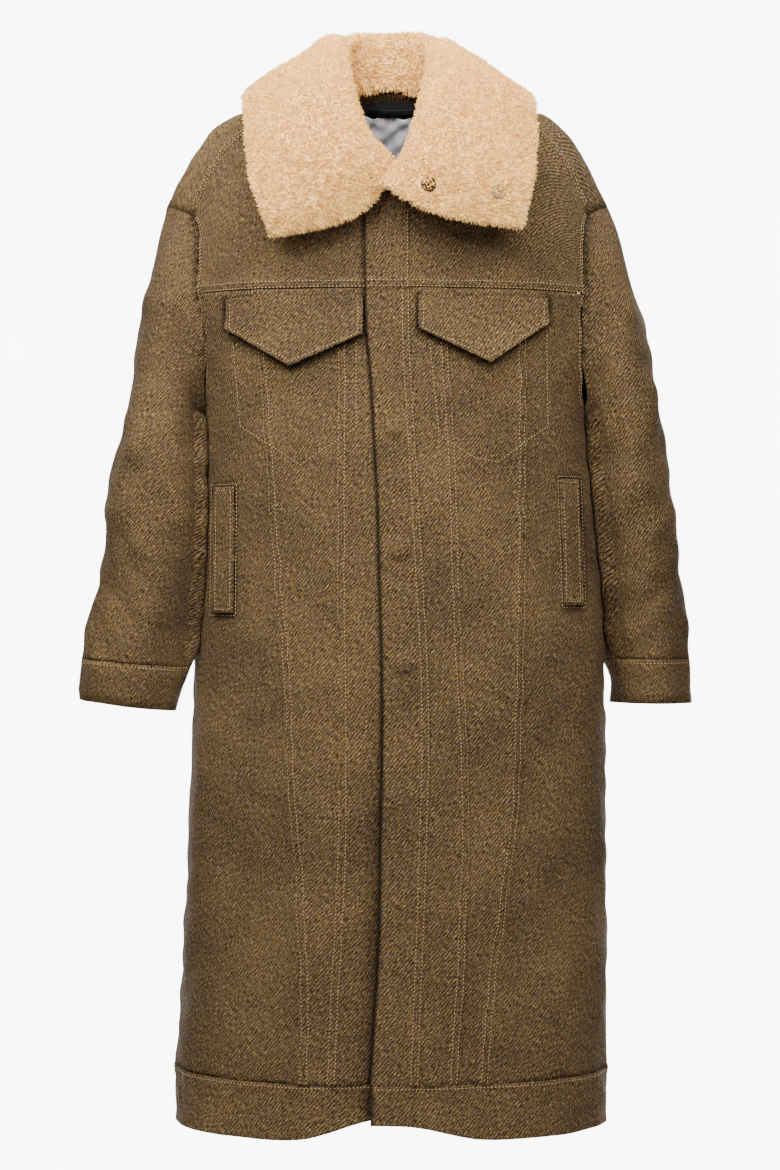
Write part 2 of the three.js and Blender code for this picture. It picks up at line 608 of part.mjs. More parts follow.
const YOKE_START_ARCH = 0.11; // half a seam gap above the yoke seam, as degrees of the arch
const SHOULDER_SEAM_HALF = 0.12; // half a seam gap at the forward shoulder seam, the same
const YOKE_REACH = 1 - HALF_GAP / ARMHOLE_HALF; // place across the shoulders of the yokes' outer edge
const YOKE_END_ARCH = FRONT_SEAM_ANGLE - SHOULDER_SEAM_HALF;
const yokeArches = [YOKE_START_ARCH, 5, 10, 15, 20, 25, 31, 38, 44, 51, YOKE_END_ARCH];

/** A front yoke, from its yoke seam up to the forward shoulder seam. */
function frontYoke(name, side) {
  const surface = (part, arch) => {
    const inner = side > 0 ? yokeInner(arch, side) : -yokeInner(arch, side);
    const [from, to] = side > 0 ? [inner, YOKE_REACH] : [-YOKE_REACH, inner];
    return shoulder(lerp(from, to, part), arch);
  };
  const lift = (point) => (side > 0 ? leftLift(point) : 0);
  addPiece(name, clothWall({ surface, a: range(YOKE_COLUMNS, 0, 1), b: yokeArches, lift }), twill);
}
frontYoke("front_yoke_left", 1);
frontYoke("front_yoke_right", -1);

// The back yoke runs from one forward shoulder seam round the back of the neck to the other. Its
// lines fan out from the neckline to its outer edge, which is made of two armholes and a back seam.
function backYoke() {
  const reach = YOKE_REACH;
  const startArch = FRONT_SEAM_ANGLE + SHOULDER_SEAM_HALF;
  const endArch = 180 - YOKE_START_ARCH;
  const startTurn = neckTurnAt(startArch);
  const ARMHOLE_STEPS = 9;
  const BACK_STEPS = 18;
  const outer = [
    ...range(ARMHOLE_STEPS, startArch, endArch).map((arch) => ({ across: -reach, arch })),
    ...range(BACK_STEPS, -reach, reach)
      .slice(1)
      .map((across) => ({ across, arch: endArch })),
    ...range(ARMHOLE_STEPS, endArch, startArch).slice(1).map((arch) => ({ across: reach, arch })),
  ];
  const turns = range(outer.length - 1, startTurn, 360 - startTurn);
  const place = (column, part) => {
    const i = Math.min(outer.length - 2, Math.max(0, Math.floor(column)));
    const t = column - i;
    const edgeAcross = lerp(outer[i].across, outer[i + 1].across, t);
    const edgeArch = lerp(outer[i].arch, outer[i + 1].arch, t);
    const turn = lerp(turns[i], turns[i + 1], t);
    const neck = necklinePlace(Math.min(turn, 360 - turn));
    const side = turn < 180 ? -1 : 1;
    const arch = lerp(Math.max(neck.arch, startArch), edgeArch, part);
    return { across: lerp(side * neck.across, edgeAcross, part), arch };
  };
  const outerGrid = [];
  const innerGrid = [];
  for (let column = 0; column < outer.length; column += 1) {
    const outerLine = [];
    const innerLine = [];
    for (const part of range(YOKE_COLUMNS, 1, 0)) {
      const { across, arch } = place(column, part);
      const point = shoulder(across, arch);
      const normal = normalAt(shoulder, across, arch, 2e-3, 0.2);
      outerLine.push(point);
      innerLine.push(point.clone().addScaledVector(normal, -CLOTH));
    }
    outerGrid.push(outerLine);
    innerGrid.push(innerLine);
  }
  addPiece("back_yoke", wallFromGrids(outerGrid.reverse(), innerGrid.reverse()), twill);
}
backYoke();

// ---------------------------------------------------------------- back and hem band
// The back below its yoke: a middle panel between two side ones.
const backSeam = (side, shift) => (z) => {
  const angle = angleAt(side * (read(BACK_SEAM, "z", z, "x") + shift), z);
  return Math.PI - Math.abs(angle);
};
const backEdge = (side) => (z) => armholeAngle(z, side, "back") + SIDE_GAP_ANGLE;
const mirrored = (seam) => (z) => -seam(z);
const pastMiddle = (seam) => (z) => 2 * Math.PI - seam(z);
const BACK_SIDE_COLUMNS = 8;
bodyPanel("back_side_left", [backEdge(1), backSeam(1, HALF_GAP)], BACK_SIDE_COLUMNS);
bodyPanel("back_panel", [backSeam(1, -HALF_GAP), pastMiddle(backSeam(-1, -HALF_GAP))], BACK_SIDE_COLUMNS);
bodyPanel(
  "back_side_right",
  [mirrored(backSeam(-1, HALF_GAP)), mirrored(backEdge(-1))],
  BACK_SIDE_COLUMNS,
);

/** One length of the hem band between two angles of the ring. */
function hemBand(name, from, to, columns, rise, lift) {
  const surface = (angle, part) => {
    const place = torsoRound(angle, HEM_SEAM_Z);
    const bottom = hemAt(place.x, place.y, rise);
    return torsoRound(angle, lerp(bottom, HEM_SEAM_Z - HALF_GAP, part));
  };
  addPiece(name, clothWall({ surface, a: range(columns, from, to), b: range(2, 0, 1), lift }), twill);
}
const HEM_LAP_X = -22.5; // free edge of the hem band that lies over
hemBand("hem_band_left", angleAt(HEM_LAP_X, HEM_Z), SIDE_ANGLE - SIDE_GAP_ANGLE, 12, HEM_RISE_OVER, leftLift);
const UNDERLAP_HEM = angleAt(UNDERLAP_X, HEM_Z);
hemBand("hem_band_right", -SIDE_ANGLE + SIDE_GAP_ANGLE, UNDERLAP_HEM, 12, HEM_RISE_UNDER, rightLift);
hemBand("hem_band_back", SIDE_ANGLE + SIDE_GAP_ANGLE, 3 * SIDE_ANGLE - SIDE_GAP_ANGLE, 24, 0);

// ---------------------------------------------------------------- sleeves and cuffs
const SLEEVE_COLUMNS = 28; // round a whole sleeve or cuff
const SLEEVE_SEAM_BACK = 312; // turn of the seam at the back of the sleeve, 0 is outside, 90 in front
const SLEEVE_SEAM_UNDER = 180; // turn of the seam under the arm
const SLEEVE_SEAM_GAP = 0.3; // half a seam gap, as a turn of the sleeve
const SLEEVE_CLEARANCE = 0.8; // between a sleeve and the coat's side
const SLEEVE_FRONT_EASE = 4; // further clearance of a sleeve in front of and behind the coat's side
const CLEAR_FROM = UNDERARM_Z + 6; // height below which a sleeve is kept clear of the side
const ARMHOLE_SPREAD = 124; // half height of the armhole, against which a station's size is set
const SLEEVE_SWELL = 1.12; // how much deeper the sleeve gets on its way from the armhole
const WALL_FADE = 70; // depth over which the armhole's shape takes up the wall's thickness

/** Point of the armhole, by a turn of 0 (shoulder tip), 90 (front), 180 (underarm), 270 (back). */
function armholePoint(anyTurn, side) {
  const turn = (anyTurn + 360) % 360;
  const upper = turn < 90 || turn > 270;
  const isFront = turn <= 180;
  const local = isFront ? turn : 360 - turn;
  if (upper) return shoulder(side, isFront ? 90 - local : 90 + local);
  const z = YOKE_Z - (YOKE_Z - UNDERARM_Z) * Math.sin((local - 90) * DEGREE);
  return torso(side * armholeAngle(z, side, isFront ? "front" : "back"), z);
}

/** Moves a point of a sleeve out of the coat's side, level with it. */
function clearOfTorso(point, side, margin) {
  if (point.z > CLEAR_FROM) return point;
  const width = read(TORSO, "z", point.z, side < 0 ? "right" : "left") + margin;
  const ease = margin + SLEEVE_FRONT_EASE;
  const depth = read(TORSO, "z", point.z, point.y < 0 ? "front" : "back") + ease;
  const rest = 1 - clamp01(Math.abs(point.y) / depth) ** SQUARENESS;
  const limit = width * rest ** (1 / SQUARENESS);
  if (side * point.x < limit) point.x = side * limit;
  return point;
}

/** Point of a slanting oval station of a sleeve. */
function stationPoint(station, turn, side, shrink) {
  const angle = turn * DEGREE;
  const middleX = (station.outX + station.inX) / 2;
  const middleZ = (station.outZ + station.inZ) / 2;
  const halfX = (station.outX - station.inX) / 2;
  const halfZ = (station.outZ - station.inZ) / 2;
  const reach = 1 - shrink / Math.hypot(halfX, halfZ);
  const oval = new THREE.Vector3(
    middleX + halfX * reach * Math.cos(angle),
    station.y - (station.depth - shrink) * Math.sin(angle),
    middleZ + halfZ * reach * Math.cos(angle),
  );
  if (station.round === 1) return oval;
  const loop = armholePoint(turn, side);
  const armhole = Math.hypot((SHOULDER_HALF - ARMHOLE_HALF) / 2, ARMHOLE_SPREAD);
  const scale = Math.hypot(halfX, halfZ) / armhole;
  const lean = new THREE.Vector3(
    middleX + halfX * reach * Math.cos(angle),
    loop.y * lerp(1, SLEEVE_SWELL, station.round) * (1 - shrink / WALL_FADE) + station.y,
    middleZ + halfZ * reach * Math.cos(angle),
  );
  return lean.lerp(oval, smooth(station.round) * Math.min(1, scale));
}

/** How far the creases move a point of a sleeve in or out. */
function creaseHeight(point, turn) {
  let height = 0;
  for (const crease of SLEEVE_CREASES) {
    const signed = turn > 180 ? turn - 360 : turn;
    const off = signed - crease.at;
    const along = (point.z - crease.z - crease.slope * off) / crease.reach;
    height += crease.height * bump(along) * bump(off / crease.turn);
  }
  return height;
}

/** Middle of a station's slanting oval. */
const stationMiddle = ({ outX, inX, outZ, inZ, y }) =>
  new THREE.Vector3((outX + inX) / 2, y, (outZ + inZ) / 2);

/**
 * A tube of cloth through stations, closed or, given two turns, a part of one between two seams.
 * The first ring of a sleeve is the armhole itself.
 */
function clothTube(name, stations, side, { withArmhole = false, between = null } = {}) {
  const [from, to] = between ?? [0, 360];
  const columns = Math.round((SLEEVE_COLUMNS * (to - from)) / 360);
  const turns = between ? range(columns, from, to) : range(columns, from, to).slice(0, columns);
  const gridFor = (shrink) => turns.map((turn) => {
    const line = stations.map((station) => {
      const point = stationPoint(station, turn, side, shrink);
      const outward = point.clone().sub(stationMiddle(station)).normalize();
      point.addScaledVector(outward, creaseHeight(point, turn));
      return clearOfTorso(point, side, SLEEVE_CLEARANCE + shrink);
    });
    if (!withArmhole) return line;
    const seam = armholePoint(turn, side);
    const inwards = stationMiddle(stations[0]).sub(seam).normalize();
    seam.addScaledVector(inwards, shrink);
    seam.x += side * ARMHOLE_GAP;
    return [seam, ...line];
  });
  const outer = gridFor(0);
  const inner = gridFor(CLOTH);
  const order = side > 0 ? [outer, inner] : [outer.reverse(), inner.reverse()];
  addPiece(name, wallFromGrids(order[0], order[1], !between), twill);
}
// Each sleeve is cut in two pieces, with seams at its back and under the arm.
const frontOfSleeve = [
  SLEEVE_SEAM_BACK - 360 + SLEEVE_SEAM_GAP,
  SLEEVE_SEAM_UNDER - SLEEVE_SEAM_GAP,
];
const backOfSleeve = [SLEEVE_SEAM_UNDER + SLEEVE_SEAM_GAP, SLEEVE_SEAM_BACK - SLEEVE_SEAM_GAP];
const SIDES = [
  { hand: "right", side: -1, sleeve: SLEEVE_RIGHT, cuff: CUFF_RIGHT },
  { hand: "left", side: 1, sleeve: SLEEVE_LEFT, cuff: CUFF_LEFT },
];
for (const { hand, side, sleeve, cuff } of SIDES) {
  clothTube(`sleeve_${hand}_front`, sleeve, side, { withArmhole: true, between: frontOfSleeve });
  clothTube(`sleeve_${hand}_back`, sleeve, side, { withArmhole: true, between: backOfSleeve });
  clothTube(`cuff_${hand}`, cuff, side);
}

// ---------------------------------------------------------------- collar
const COLLAR_STEPS = 10; // steps from the neck seam to the free edge
const COLLAR_BETWEEN = 3; // columns for each gap between two stations
const COLLAR_SEAM_THICKNESS = 5; // the shearling is pared thin where it is sewn to the neck
const COLLAR_SKIVED = 0.22; // the part of the way down over which it thickens
const COLLAR_SEAM_GAP = 0.006; // half the gap of its centre back seam, in stations

/** Where a station's pile face meets the neckline. */
function collarSeam({ turn, out = COLLAR_TUCK, up = 0 }) {
  const place = necklinePlace(Math.abs(turn));
  const point = shoulder(Math.sign(turn) * place.across, place.arch);
  const outward = new THREE.Vector3(point.x, point.y, 0).normalize();
  return point.addScaledVector(outward, out).add(new THREE.Vector3(0, 0, up));
}
const COLLAR_KEYS = COLLAR.map((station) => ({
  seam: collarSeam(station),
  roll: new THREE.Vector3(...station.roll),
  fall: new THREE.Vector3(...station.fall),
  edge: new THREE.Vector3(...station.edge),
}));

/** Point of the collar's pile face. Along counts stations, down runs 0 (seam) to 1 (free edge). */
function collarPoint(along, down) {
  const last = COLLAR.length - 1;
  const i = Math.min(last - 1, Math.floor(along));
  const stations = [i - 1, i, i + 1, i + 2].map((k) => COLLAR_KEYS[Math.min(last, Math.max(0, k))]);
  const t = along - i;
  const weave = (column) => {
    const points = stations.map((station) => station[column].clone());
    return new THREE.CatmullRomCurve3(points, false, "centripetal").getPoint((1 + t) / 3);
  };
  const keys = ["seam", "roll", "fall", "edge"].map(weave);
  return new THREE.CatmullRomCurve3(keys, false, "centripetal").getPoint(down);
}

/** Half of the collar, a hide with its pile, from the neck seam over the roll to the free edge. */
function collarHalf(name, from, to) {
  const last = COLLAR.length - 1;
  const columns = range((last / 2) * COLLAR_BETWEEN, from, to);
  const rows = range(COLLAR_STEPS, 0, 1);
  const outer = [];
  const inner = [];
  for (const along of columns) {
    const i = Math.min(last - 1, Math.floor(along));
    const thick = lerp(COLLAR[i].thick, COLLAR[i + 1].thick, along - i);
    const outerLine = [];
    const innerLine = [];
    for (const down of rows) {
      const a = Math.min(last - 0.01, Math.max(0.01, along));
      const b = Math.min(0.99, Math.max(0.01, down));
      const normal = normalAt(collarPoint, a, b, 0.01, 0.01).negate();
      const point = collarPoint(along, down);
      outerLine.push(point);
      const wall = lerp(COLLAR_SEAM_THICKNESS, thick, smooth(down / COLLAR_SKIVED));
      innerLine.push(point.clone().addScaledVector(normal, -wall));
    }
    outer.push(outerLine.reverse());
    inner.push(innerLine.reverse());
  }
  addPiece(name, wallFromGrids(outer, inner), pile);
}
const COLLAR_MIDDLE = (COLLAR.length - 1) / 2;
collarHalf("collar_right", 0, COLLAR_MIDDLE - COLLAR_SEAM_GAP);
collarHalf("collar_left", COLLAR_MIDDLE + COLLAR_SEAM_GAP, COLLAR.length - 1);

// ---------------------------------------------------------------- inside the back of the neck
/** Point of the inner face of the back yoke, given as seen from the front. */
function insideBack(x, z) {
  let across = x / ARMHOLE_HALF;
  let arch = 90;
  for (let round = 0; round < 6; round += 1) {
    const top = read(RIDGE, "x", Math.abs(across) * SHOULDER_HALF, "z");
    const sine = clamp01((z - YOKE_Z) / (top - YOKE_Z)) ** (1 / ARCH_BACK.height);
    arch = 180 - Math.asin(sine) / DEGREE;
    across = x / (ARMHOLE_HALF + (SHOULDER_HALF - ARMHOLE_HALF) * sine ** FLARE_POWER);
  }
  return shoulder(across, arch);
}

/** A flat strip against the inside of the back yoke, between two heights. */
function neckStrip(name, half, bottom, top, depth, material) {
  const surface = (x, z) => insideBack(-x, z);
  const lift = () => -CLOTH - depth;
  const a = range(8, -half, half);
  const b = range(Math.max(1, Math.round((top - bottom) / 16)), bottom, top);
  addPiece(name, clothWall({ surface, a, b, lift, thickness: THIN_CLOTH }), material);
}
neckStrip("neck_facing", 54, -4, 12, LINING_GAP, darkBand);
neckStrip("hanger_loop", 26, 1, 6, LINING_GAP * 2 + THIN_CLOTH, darkBand);
neckStrip("lining_panel", 60, -52, -4 - SEAM_GAP, LINING_GAP, satin);
neckStrip("lining_band", 60, -68, -52 - SEAM_GAP, LINING_GAP, darkBand);

// ---------------------------------------------------------------- snaps
const SNAP_RADIUS = 8.5;
const PIN_RADIUS = 3;

/** Sets a turned piece on the collar's pile, by its place along the stations and down the leaf. */
function onCollar(name, profile, along, down, segments) {
  const normal = normalAt(collarPoint, along, down, 0.01, 0.01).negate();
  const geometry = new THREE.LatheGeometry(profile, segments);
  geometry.deleteAttribute("uv");
  const point = collarPoint(along, down).addScaledVector(normal, SNAP_GAP);
  geometry.applyQuaternion(new THREE.Quaternion().setFromUnitVectors(new THREE.Vector3(0, 1, 0), normal));
  geometry.translate(point.x, point.y, point.z);
  addPiece(name, geometry, bronze);
}

const profileOf = (pairs) => pairs.map(([radius, height]) => new THREE.Vector2(radius, height));
// A ring snap: a domed rim round a sunk cup with a small post in its middle.
const RING_SNAP = profileOf([
  [0, 0],
  [SNAP_RADIUS, 0],
  [SNAP_RADIUS, 1.4],
  [SNAP_RADIUS * 0.82, 2.6],
  [SNAP_RADIUS * 0.55, 2.4],
  [SNAP_RADIUS * 0.48, 1.1],
  [SNAP_RADIUS * 0.22, 1.1],
  [SNAP_RADIUS * 0.16, 2],
  [0, 2.2],
]);
const PIN_SNAP = profileOf([
  [0, 0],
  [PIN_RADIUS, 0],
  [PIN_RADIUS, 0.9],
  [PIN_RADIUS * 0.6, 1.7],
  [0, 1.9],
]);

/** Finds the place on the collar's face that lies at a point of a leaf, as seen from the front. */
function leafPlace(x, z, fromStation, toStation) {
  let best = { along: fromStation, down: 0.5, miss: Infinity };
  let stepAlong = (toStation - fromStation) / 24;
  let stepDown = 0.025;
  let centre = { along: (fromStation + toStation) / 2, down: 0.65 };
  for (let round = 0; round < 6; round += 1) {
    for (let i = -12; i <= 12; i += 1) {
      for (let j = -12; j <= 12; j += 1) {
        const along = Math.min(toStation, Math.max(fromStation, centre.along + i * stepAlong));
        const down = Math.min(0.98, Math.max(0.3, centre.down + j * stepDown));
        const point = collarPoint(along, down);
        const miss = Math.hypot(point.x - x, point.z - z);
        if (miss < best.miss) best = { along, down, miss };
      }
    }
    centre = best;
    stepAlong /= 4;
    stepDown /= 4;
  }
  return best;
}

const LAST_STATION = COLLAR.length - 1;
const LEAF_STATIONS = 3; // how many stations from each front end a leaf's snaps lie within
// The snaps as seen from the front.
const SNAPS = [
  { name: "snap_ring_inner", profile: RING_SNAP, x: 40.5, z: -123.5, side: 1, segments: 20 },
  { name: "snap_ring_outer", profile: RING_SNAP, x: 114, z: -130.5, side: 1, segments: 20 },
  { name: "snap_pin_inner", profile: PIN_SNAP, x: -24, z: -109, side: -1, segments: 10 },
  { name: "snap_pin_outer", profile: PIN_SNAP, x: -103, z: -138, side: -1, segments: 10 },
];
for (const snap of SNAPS) {
  const from = snap.side > 0 ? LAST_STATION - LEAF_STATIONS : 0;
  const { along, down } = leafPlace(snap.x, snap.z, from, from + LEAF_STATIONS);
  onCollar(snap.name, snap.profile, along, down, snap.segments);
}

export default coat;
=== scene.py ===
"""A long trucker coat in heavy heather twill, with a spread shearling collar.

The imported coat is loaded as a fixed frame. Each cloth piece is a finer wall on its own solid, with
soft creases, seams, topstitching, weave and nap. The wearer faces -Y and +X is the wearer's left.
"""
import logging
import math
from dataclasses import dataclass, field
from enum import Enum
from typing import Callable, Sequence

import bmesh
import bpy
import numpy as np
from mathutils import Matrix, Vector
from mathutils.bvhtree import BVHTree
from mathutils.kdtree import KDTree


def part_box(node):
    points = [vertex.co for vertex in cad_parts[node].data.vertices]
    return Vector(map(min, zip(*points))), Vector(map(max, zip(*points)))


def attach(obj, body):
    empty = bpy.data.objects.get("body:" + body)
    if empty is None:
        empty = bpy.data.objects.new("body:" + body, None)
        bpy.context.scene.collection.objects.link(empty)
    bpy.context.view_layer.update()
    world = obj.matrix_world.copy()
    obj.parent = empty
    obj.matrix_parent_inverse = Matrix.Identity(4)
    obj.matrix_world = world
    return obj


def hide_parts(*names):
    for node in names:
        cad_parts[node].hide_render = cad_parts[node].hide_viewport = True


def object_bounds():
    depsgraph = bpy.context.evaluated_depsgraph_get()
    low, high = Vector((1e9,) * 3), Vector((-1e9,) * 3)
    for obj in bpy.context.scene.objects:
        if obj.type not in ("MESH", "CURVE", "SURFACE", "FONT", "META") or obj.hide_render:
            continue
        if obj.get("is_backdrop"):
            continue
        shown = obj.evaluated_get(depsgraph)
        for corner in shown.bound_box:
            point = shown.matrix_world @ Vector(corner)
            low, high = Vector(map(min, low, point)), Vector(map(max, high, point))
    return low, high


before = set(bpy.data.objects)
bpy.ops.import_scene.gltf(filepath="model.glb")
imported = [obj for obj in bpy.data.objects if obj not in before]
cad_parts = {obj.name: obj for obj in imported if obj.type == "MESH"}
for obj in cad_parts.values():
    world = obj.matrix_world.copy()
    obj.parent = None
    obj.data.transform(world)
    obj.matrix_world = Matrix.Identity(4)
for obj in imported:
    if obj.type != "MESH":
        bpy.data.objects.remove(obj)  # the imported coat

log = logging.getLogger("coat")
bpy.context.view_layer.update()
MM = 0.001
ROOT = "root"

# Heights and widths that the pieces share, in metres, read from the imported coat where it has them.
YOKE_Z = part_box("front_inner_left")[1].z
HEM_SEAM_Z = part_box("front_inner_left")[0].z
UNDERARM_Z = -0.376
TORSO_HALF = 0.235  # a middling half width of the torso, for laying the weave round it
TORSO_DEPTH = 0.132
SLEEVE_RADIUS = 0.07  # a middling half width of a sleeve, for laying the weave round it
MOUTH_REACH = 0.006  # how near a sleeve's open end counts as sewn to the body
SEAM_LEFT_OPEN = 0.0004  # what a sewn mouth keeps open, so that no two pieces touch
OUTER_MARGIN = 0.4  # how much more a side has to face out before it is taken for the outer one


# ------------------------------------------------------------------ colours and node helpers
def srgb(code: str) -> tuple[float, float, float, float]:
    """Turn a colour such as "#8a6f42" to linear light.

    Args:
        code: The sRGB colour as six hex digits after a hash.

    Returns:
        Red, green, blue and an alpha of 1.
    """
    parts = [int(code[i : i + 2], 16) / 255 for i in (1, 3, 5)]
    linear = [c / 12.92 if c <= 0.04045 else ((c + 0.055) / 1.055) ** 2.4 for c in parts]
    return (*linear, 1.0)


def add_node(tree: bpy.types.NodeTree, kind: str, values: dict | None = None, **settings) -> bpy.types.Node:
    """Add a node to a tree and fill it in.

    Args:
        tree: The tree that the node goes to.
        kind: Blender's name for the kind of node.
        values: Input names or numbers, each with a value or with the socket to link from.
        **settings: The node's own settings, such as operation.

    Returns:
        The new node.
    """
    node = tree.nodes.new(kind)
    for name, value in settings.items():
        setattr(node, name, value)
    for key, value in (values or {}).items():
        socket = node.inputs[key]
        if isinstance(value, bpy.types.NodeSocket):
            tree.links.new(value, socket)
        else:
            socket.default_value = value
    return node


def new_material(name: str) -> tuple[bpy.types.Material, bpy.types.NodeTree, bpy.types.Node]:
    """Start a material and hand back its tree and its main shader.

    Args:
        name: Its name.

    Returns:
        The material, its node tree and its shader.
    """
    material = bpy.data.materials.new(name)
    material.use_nodes = True
    tree = material.node_tree
    return material, tree, tree.nodes["Principled BSDF"]


def fill_ramp(ramp: bpy.types.Node, stops: Sequence[tuple[float, str]]) -> None:
    """Set a colour ramp's stops.

    Args:
        ramp: The colour ramp node.
        stops: Places from 0 to 1, each with an sRGB colour.
    """
    elements = ramp.color_ramp.elements
    while len(elements) < len(stops):
        elements.new(0.5)
    for element, (place, code) in zip(elements, stops):
        element.position = place
        element.color = srgb(code)


# ------------------------------------------------------------------ finishes
@dataclass(frozen=True)
class TwillFinish:
    """Heavy wool-blend twill, woven from tan, dark brown and blue-grey threads: matt and heathery."""

    name: str = "heather_twill"
    rib_mm: float = 3.1
    thread_mm: float = 1.15
    lean: float = math.radians(52)
    stops: tuple[tuple[float, str], ...] = (
        (0.27, "#181008"),
        (0.4, "#3a2d1b"),
        (0.5, "#58462c"),
        (0.6, "#775d37"),
        (0.74, "#a28652"),
    )
    blue: str = "#4b4749"
    # painted shade: the near black that the twill is darkened to deep in its seams and under the flaps'
    # edges
    painted_dark: str = "#0e0a06"
    rough: float = 0.95
    sheen: float = 0.01

    def build(self) -> bpy.types.Material:
        """Make the twill: slanting ribs of short mixed threads on the piece's own map, in metres.

        The piece's shade attribute is painted shade: it darkens the twill towards a near black deep inside a
        seam and under a flap's edge, where shadow falls.

        Returns:
            The material.
        """
        material, tree, shader = new_material(self.name)
        place = add_node(tree, "ShaderNodeUVMap", uv_map="cloth").outputs["UV"]
        turned = add_node(
            tree, "ShaderNodeMapping", {"Vector": place, "Rotation": (0, 0, -self.lean)}
        ).outputs["Vector"]
        wobble = add_node(tree, "ShaderNodeTexNoise", {"Vector": place, "Scale": 130.0, "Detail": 2.0})
        bent = add_node(
            tree,
            "ShaderNodeVectorMath",
            {0: wobble.outputs["Color"], 1: (0.0016, 0.0016, 0.0)},
            operation="MULTIPLY",
        ).outputs["Vector"]
        laid = add_node(
            tree, "ShaderNodeVectorMath", {0: turned, 1: bent}, operation="ADD"
        ).outputs["Vector"]
        split = add_node(tree, "ShaderNodeSeparateXYZ", {"Vector": laid})
        ribs = add_node(
            tree,
            "ShaderNodeMath",
            {0: split.outputs["Y"], 1: 2 * math.pi / (self.rib_mm * MM)},
            operation="MULTIPLY",
        ).outputs["Value"]
        wave = add_node(tree, "ShaderNodeMath", {0: ribs}, operation="SINE").outputs["Value"]
        along = 1 / (4.2 * self.thread_mm * MM)
        across = 1 / (self.thread_mm * MM)
        stretched = add_node(
            tree, "ShaderNodeVectorMath", {0: laid, 1: (along, across, 1.0)}, operation="MULTIPLY"
        ).outputs["Vector"]
        threads = add_node(tree, "ShaderNodeTexNoise", {"Vector": stretched, "Scale": 1.0, "Detail": 2.5})
        flecks = add_node(
            tree, "ShaderNodeTexNoise", {"Vector": place, "Scale": 520.0, "Detail": 3.0, "Roughness": 0.7}
        )
        clouds = add_node(tree, "ShaderNodeTexNoise", {"Vector": place, "Scale": 9.0, "Detail": 4.0})
        mixed = self._sum(
            tree,
            [
                (threads.outputs["Fac"], 0.95),
                (flecks.outputs["Fac"], 0.78),
                (clouds.outputs["Fac"], 0.2),
                (wave, 0.06),
            ],
            -0.5,
        )
        ramp = add_node(tree, "ShaderNodeValToRGB", {"Fac": mixed})
        fill_ramp(ramp, self.stops)
        blues = add_node(tree, "ShaderNodeTexNoise", {"Vector": stretched, "Scale": 0.83, "Detail": 1.0})
        share = add_node(
            tree,
            "ShaderNodeMapRange",
            {"Value": blues.outputs["Fac"], "From Min": 0.52, "From Max": 0.68, "To Max": 0.55},
        ).outputs["Result"]
        colour = add_node(
            tree,
            "ShaderNodeMix",
            {"Factor": share, 6: ramp.outputs["Color"], 7: srgb(self.blue)},
            data_type="RGBA",
        ).outputs[2]
        # Painted shade: the shade attribute mixes the near black into the twill where shadow falls in deep
        # seams and under flaps.
        shade = add_node(tree, "ShaderNodeAttribute", attribute_name="shade").outputs["Fac"]
        colour = add_node(
            tree, "ShaderNodeMix", {"Factor": shade, 6: colour, 7: srgb(self.painted_dark)}, data_type="RGBA"
        ).outputs[2]
        tree.links.new(colour, shader.inputs["Base Color"])
        heights = [(wave, 0.5), (threads.outputs["Fac"], 0.8), (flecks.outputs["Fac"], 0.5)]
        relief = self._sum(tree, heights, 0.0)
        bump = add_node(
            tree, "ShaderNodeBump", {"Height": relief, "Strength": 0.55, "Distance": 0.0009}
        ).outputs["Normal"]
        tree.links.new(bump, shader.inputs["Normal"])
        shader.inputs["Roughness"].default_value = self.rough
        shader.inputs["Sheen Weight"].default_value = self.sheen
        shader.inputs["Sheen Roughness"].default_value = 0.55
        shader.inputs["Specular IOR Level"].default_value = 0.08
        return material

    @staticmethod
    def _sum(
        tree: bpy.types.NodeTree, terms: Sequence[tuple[bpy.types.NodeSocket, float]], offset: float
    ) -> bpy.types.NodeSocket:
        """Add up sockets, each times its weight, and an offset.

        Args:
            tree: The tree that the nodes go to.
            terms: Each socket with its weight.
            offset: What is added at the start.

        Returns:
            The sum's socket.
        """
        total: bpy.types.NodeSocket | float = offset
        for socket, weight in terms:
            total = add_node(
                tree, "ShaderNodeMath", {0: socket, 1: weight, 2: total}, operation="MULTIPLY_ADD"
            ).outputs["Value"]
        return total


@dataclass(frozen=True)
class PileFinish:
    """Clipped cream shearling: soft, matt wool that glows a little at its edges."""

    name: str = "cream_shearling"
    light: str = "#ffd88a"
    deep: str = "#e4ae60"
    rough: float = 0.95
    sheen: float = 0.18

    def build(self) -> bpy.types.Material:
        """Make the wool, mottled by its clumps.

        Returns:
            The material.
        """
        material, tree, shader = new_material(self.name)
        place = add_node(tree, "ShaderNodeTexCoord").outputs["Object"]
        clumps = add_node(tree, "ShaderNodeTexNoise", {"Vector": place, "Scale": 95.0, "Detail": 4.0})
        fine = add_node(tree, "ShaderNodeTexNoise", {"Vector": place, "Scale": 620.0, "Detail": 3.0})
        mixed = TwillFinish._sum(
            tree, [(clumps.outputs["Fac"], 0.7), (fine.outputs["Fac"], 1.1)], -0.4
        )
        ramp = add_node(tree, "ShaderNodeValToRGB", {"Fac": mixed})
        fill_ramp(ramp, ((0.25, self.deep), (0.7, self.light)))
        tree.links.new(ramp.outputs["Color"], shader.inputs["Base Color"])
        bump = add_node(
            tree, "ShaderNodeBump", {"Height": mixed, "Strength": 0.5, "Distance": 0.0012}
        ).outputs["Normal"]
        tree.links.new(bump, shader.inputs["Normal"])
        shader.inputs["Roughness"].default_value = self.rough
        shader.inputs["Sheen Weight"].default_value = self.sheen
        shader.inputs["Sheen Roughness"].default_value = 0.4
        shader.inputs["Sheen Tint"].default_value = srgb("#ffe9c8")
        shader.inputs["Specular IOR Level"].default_value = 0.15
        return material


